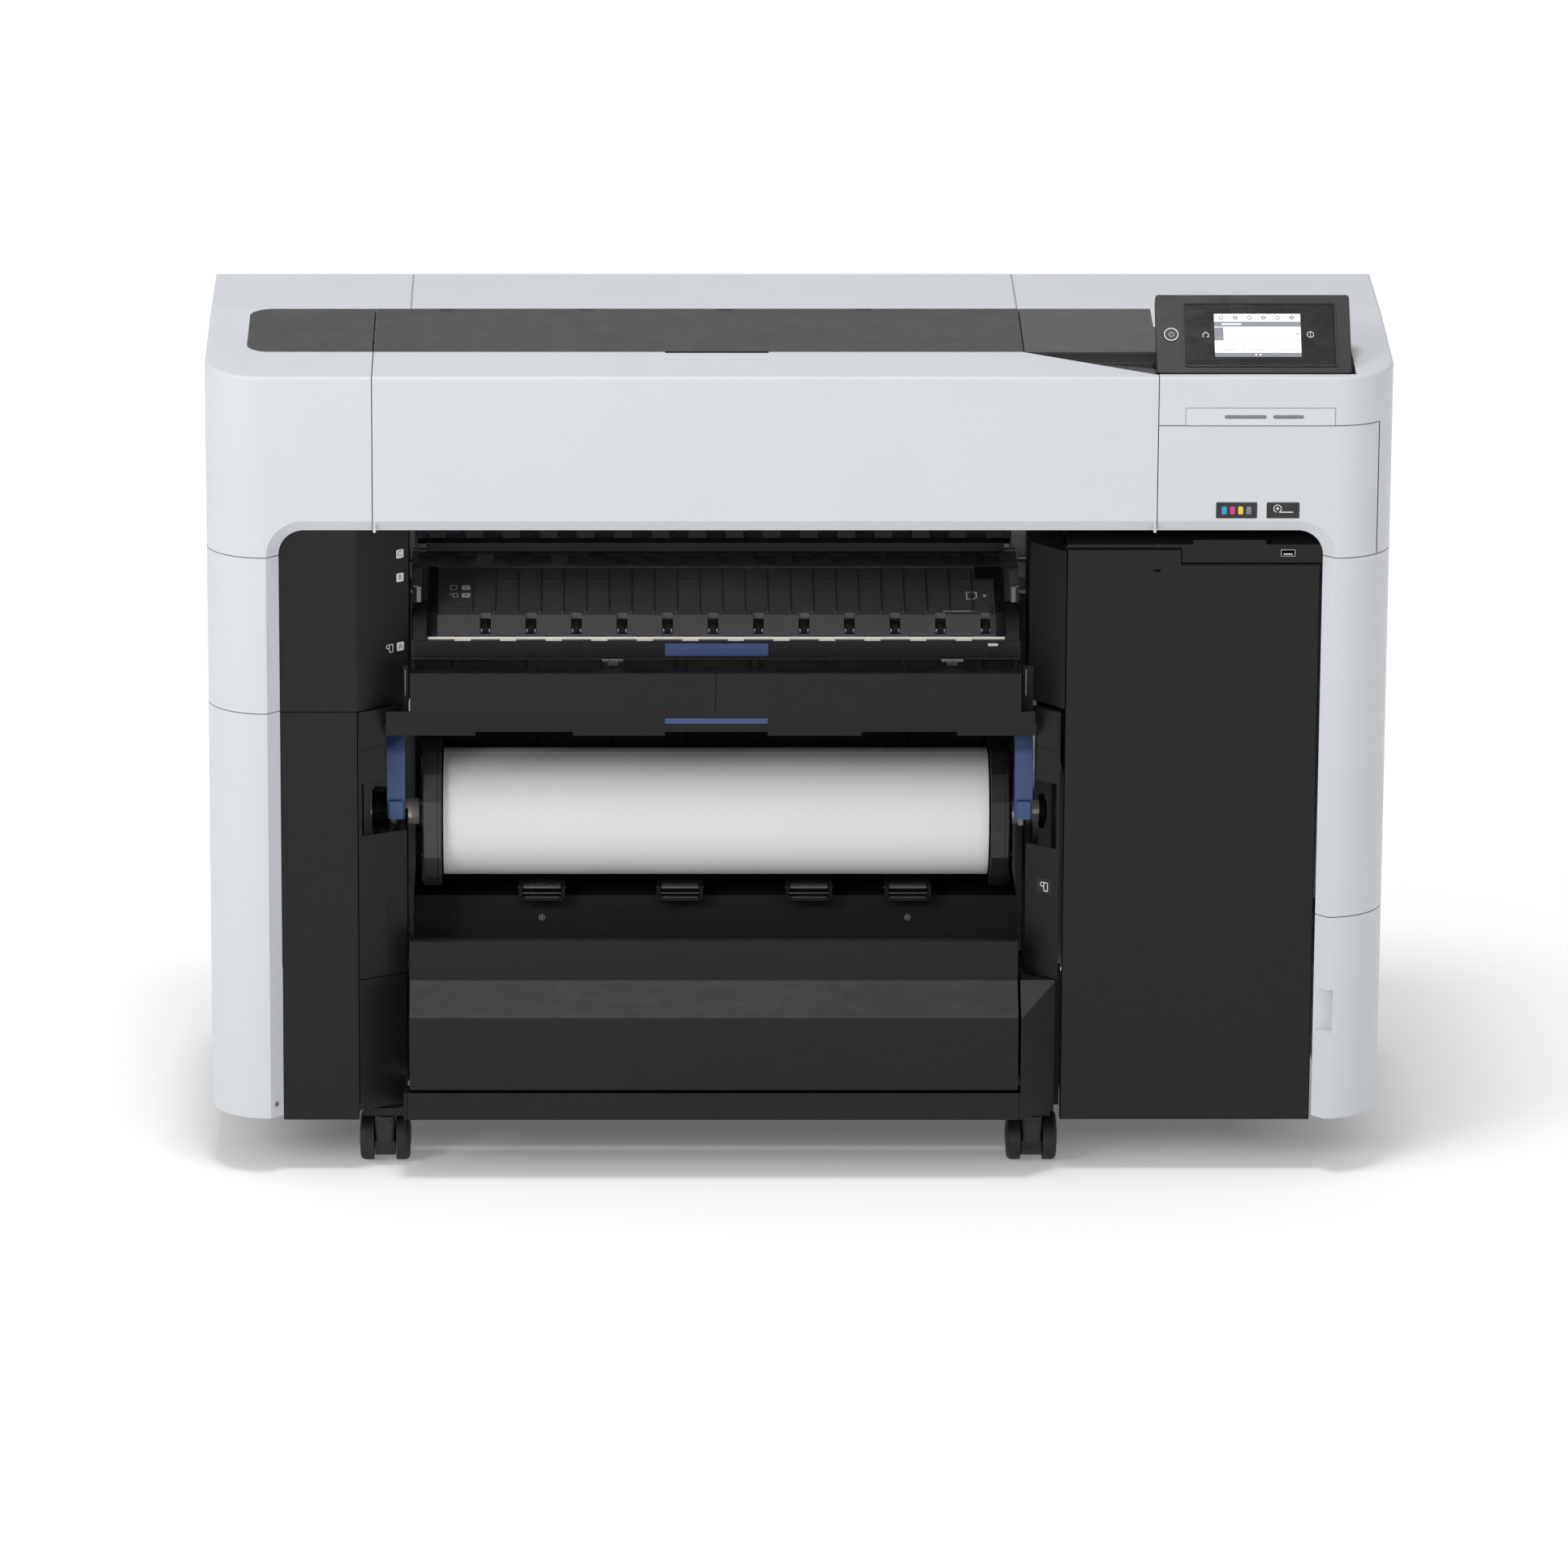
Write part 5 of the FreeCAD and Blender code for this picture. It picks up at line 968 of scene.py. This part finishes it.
# ---------------------------------------------------------------- roll

def make_spindle_knob():
    """Ribbed knob at the left end of the spindle."""
    axis_y, axis_z = roll_axis()
    centre = (0, axis_y, axis_z)
    left = span("roll_spindle").left
    piece("spindle_knob", "roll", "black_plastic",
          [lathe("X", centre, [(left - 0.2, 15), (left - 0.2, 22), (left + 1.5, 24.4), (left + 8, 24.4),
                               (left + 9, 24.15), (left + 13, 24.15), (left + 14, 24.6), (left + 21, 24.4),
                               (left + 22.4, 23), (left + 22.4, 12)])], bevel=0)
    tabs = []
    for k in range(4):
        turn = k * math.pi / 2
        y = axis_y + 23 * math.cos(turn)
        z = axis_z + 23 * math.sin(turn)
        tab_face = face((left + 3.6, y, z), (0, math.cos(turn), math.sin(turn)),
                        (0, -math.sin(turn), math.cos(turn)))
        tabs.append(prism(tab_face, pill(0, 0, 9, 9, 1.2), 0, 14.8))
    piece("spindle_knob_tabs", "roll", "black_plastic", tabs, bevel=0.4)


def make_flange_rims():
    """Sixteen-sided rim, hub and eight ribs on the outer face of each flange."""
    paper = span("paper_roll")
    axis_y, axis_z = roll_axis()
    centre = (0, axis_y, axis_z)
    sides = 16
    for name, finish, low, high in (
            ("left_flange_rim", "flange_plastic", paper.left - 22.4, paper.left - 1.8),
            ("right_flange_rim", "dark_flange_plastic", paper.right + 1.8, paper.right + 22.4)):
        rim = [(low, 78), (low, 83.2), (low + 1, 84), (high - 1, 84), (high, 83.2), (high, 78)]
        piece(name, "roll", finish, [tube("X", centre, rim, sides)], bevel=0.3, sharp=15)
        outer = low if name.startswith("left") else high
        inward = 1 if name.startswith("left") else -1
        hub = [(outer, 16), (outer, 34), (outer - 2.5 * inward, 34), (outer - 5 * inward, 30),
               (outer - 5 * inward, 16)]
        piece(name.replace("rim", "hub"), "roll", finish, [tube("X", centre, hub, 64)], bevel=0)
        ribs = []
        for k in range(8):
            turn = 2 * math.pi * (k + 0.5) / 8
            out = Vector((0, math.cos(turn), math.sin(turn)))
            spoke = face((outer - inward * 1.4, axis_y, axis_z), out, (0, -math.sin(turn), math.cos(turn)))
            ribs.append(prism(spoke, rectangle(33, 79, -1.2, 1.2), -1.3, 1.3))
        piece(name.replace("rim", "ribs"), "roll", finish, ribs, bevel=0.3)


def make_spindle_sleeves():
    """Sleeves outside the flanges, bright with the painted highlight of their steel finish, and the bearing
    at the spindle's right end.
    """
    centre = (0, *roll_axis())
    inner = span("left_flange").left
    left_sleeve = [(inner - 27, 12.3), (inner - 27, 14.4), (inner - 26.4, 15), (inner + 0.5, 15),
                   (inner + 1.5, 14.4), (inner + 1.5, 12.3)]
    inner = span("right_flange").right
    right_sleeve = [(inner + 1, 12.3), (inner + 1, 14.4), (inner + 1.6, 15), (inner + 25.4, 15),
                    (inner + 26, 14.4), (inner + 26, 12.3)]
    piece("spindle_sleeves", "roll", "spindle_steel",
          [tube("X", centre, left_sleeve, 48), tube("X", centre, right_sleeve, 48)], bevel=0)
    end = span("roll_spindle").right
    bearing = [(end - 1.5, 12.4), (end - 1.5, 18), (end - 0.5, 19.5), (end + 4, 19.5), (end + 5, 18),
               (end + 5, 12.4)]
    core = [(end, 0.5), (end, 13), (end + 6, 13), (end + 7, 12), (end + 7, 0.5)]
    piece("spindle_bearing", "roll", "black_plastic",
          [tube("X", centre, bearing, 48), lathe("X", centre, core, 48)], bevel=0)


def make_paper_edge():
    """The sheet's last turn, which lies over the top of the roll and ends in an edge."""
    paper = span("paper_roll")
    axis_y, axis_z = roll_axis()
    sheet_radius = 71.25
    start = 38.0
    sweep = 60
    outer = disc(0, 0, sheet_radius, 40, start, sweep)
    inner = disc(0, 0, sheet_radius - 0.6, 40, start, sweep)[::-1]
    end_face = face((paper.left + 0.3, axis_y, axis_z), (0, 1, 0), (0, 0, 1))
    sheet = prism(end_face, outer + inner, 0, paper.right - paper.left - 0.6)
    piece("paper_leading_edge", "roll", "paper", [sheet], bevel=0, sharp=30)


# ---------------------------------------------------------------- light, floor, camera

def make_floor():
    """Plain pale floor that runs out of the picture on every side; it glows weakly next to the machine and
    more strongly away from it, which paints in a soft shadow round the machine and painted light further out.
    """
    paint = Paint("floor")
    clouds = paint.noise(1.3, 3.0, 0.6)
    base = paint.mix((0.71, 0.71, 0.712), (0.725, 0.725, 0.727), clouds)
    paint.link(base, paint.shader.inputs["Base Color"])
    paint.shader.inputs["Roughness"].default_value = 0.8
    paint.shader.inputs["Specular IOR Level"].default_value = 0.1
    paint.shader.inputs["Emission Color"].default_value = (1.0, 1.0, 1.0, 1.0)
    # painted shadow: the floor's glow is weakest on a patch a little smaller than the machine's footprint and
    # grows away from it, painted light that whitens the floor further out
    away = paint.outside(0.5, 0.12)
    near = paint.remap(away, 0.0, 0.22, 0.08, 0.36)
    far = paint.remap(away, 0.2, 1.8, 0.0, 0.3)
    paint.link(paint.plus(near, far), paint.shader.inputs["Emission Strength"])
    mesh = bpy.data.meshes.new("floor")
    reach = 30.0
    mesh.from_pydata([(-reach, -reach, 0), (reach, -reach, 0), (reach, reach, 0), (-reach, reach, 0)], [],
                     [(0, 1, 2, 3)])
    mesh.materials.append(paint.material)
    floor = bpy.data.objects.new("floor", mesh)
    bpy.context.scene.collection.objects.link(floor)


def area_light(name, place, target, size, power):
    light = bpy.data.lights.new(name, "AREA")
    light.shape = "DISK"
    light.size = size
    light.energy = power
    item = bpy.data.objects.new(name, light)
    bpy.context.scene.collection.objects.link(item)
    item.location = place
    item.rotation_euler = (Vector(target) - Vector(place)).to_track_quat("-Z", "Y").to_euler()


def make_light():
    """Bright even surround with a large soft key from the upper left front."""
    world = bpy.data.worlds.new("studio")
    world.use_nodes = True
    background = world.node_tree.nodes["Background"]
    background.inputs["Color"].default_value = (1.0, 1.0, 1.0, 1.0)
    background.inputs["Strength"].default_value = 0.42
    bpy.context.scene.world = world
    area_light("key", (-4.4, -4.6, 3.4), (0, 0, 0.6), 2.5, 135.0)
    area_light("top", (-0.3, -1.0, 5.4), (0, 0, 0.5), 1.4, 118.0)
    area_light("front_low", (-0.6, -7.0, 1.3), (-0.1, 0, 0.5), 1.6, 12.0)


def make_camera():
    """Long lens from the front, looking down a little, with the object right of the optical axis."""
    lens = bpy.data.cameras.new("camera")
    lens.lens = 219.5
    lens.sensor_width = 36.0
    lens.shift_x = 0.123
    lens.clip_start = 0.1
    lens.clip_end = 200.0
    camera = bpy.data.objects.new("camera", lens)
    bpy.context.scene.collection.objects.link(camera)
    camera.location = (-0.2287, -10.4543, 3.3728)
    camera.rotation_euler = (math.radians(74.0), 0.0, 0.0)
    bpy.context.scene.camera = camera


make_looks()
paint_nodes()
make_display()
make_power_ring()
make_touch_marks()
make_casing_details()
make_chamfer_screw()
make_roof_slots()
make_front_marks()
make_guide_rollers()
make_guide_front()
make_guide_ends()
make_guide_surface()
make_column_panels()
make_fascia_panels()
make_seams()
make_usb_details()
make_lever_details()
make_tray_details()
make_flange_details()
make_caster_details()
make_roll_cover_details()
make_spindle_knob()
make_flange_rims()
make_spindle_sleeves()
make_paper_edge()
make_floor()
make_light()
make_camera()
bpy.context.scene.view_settings.view_transform = "Standard"
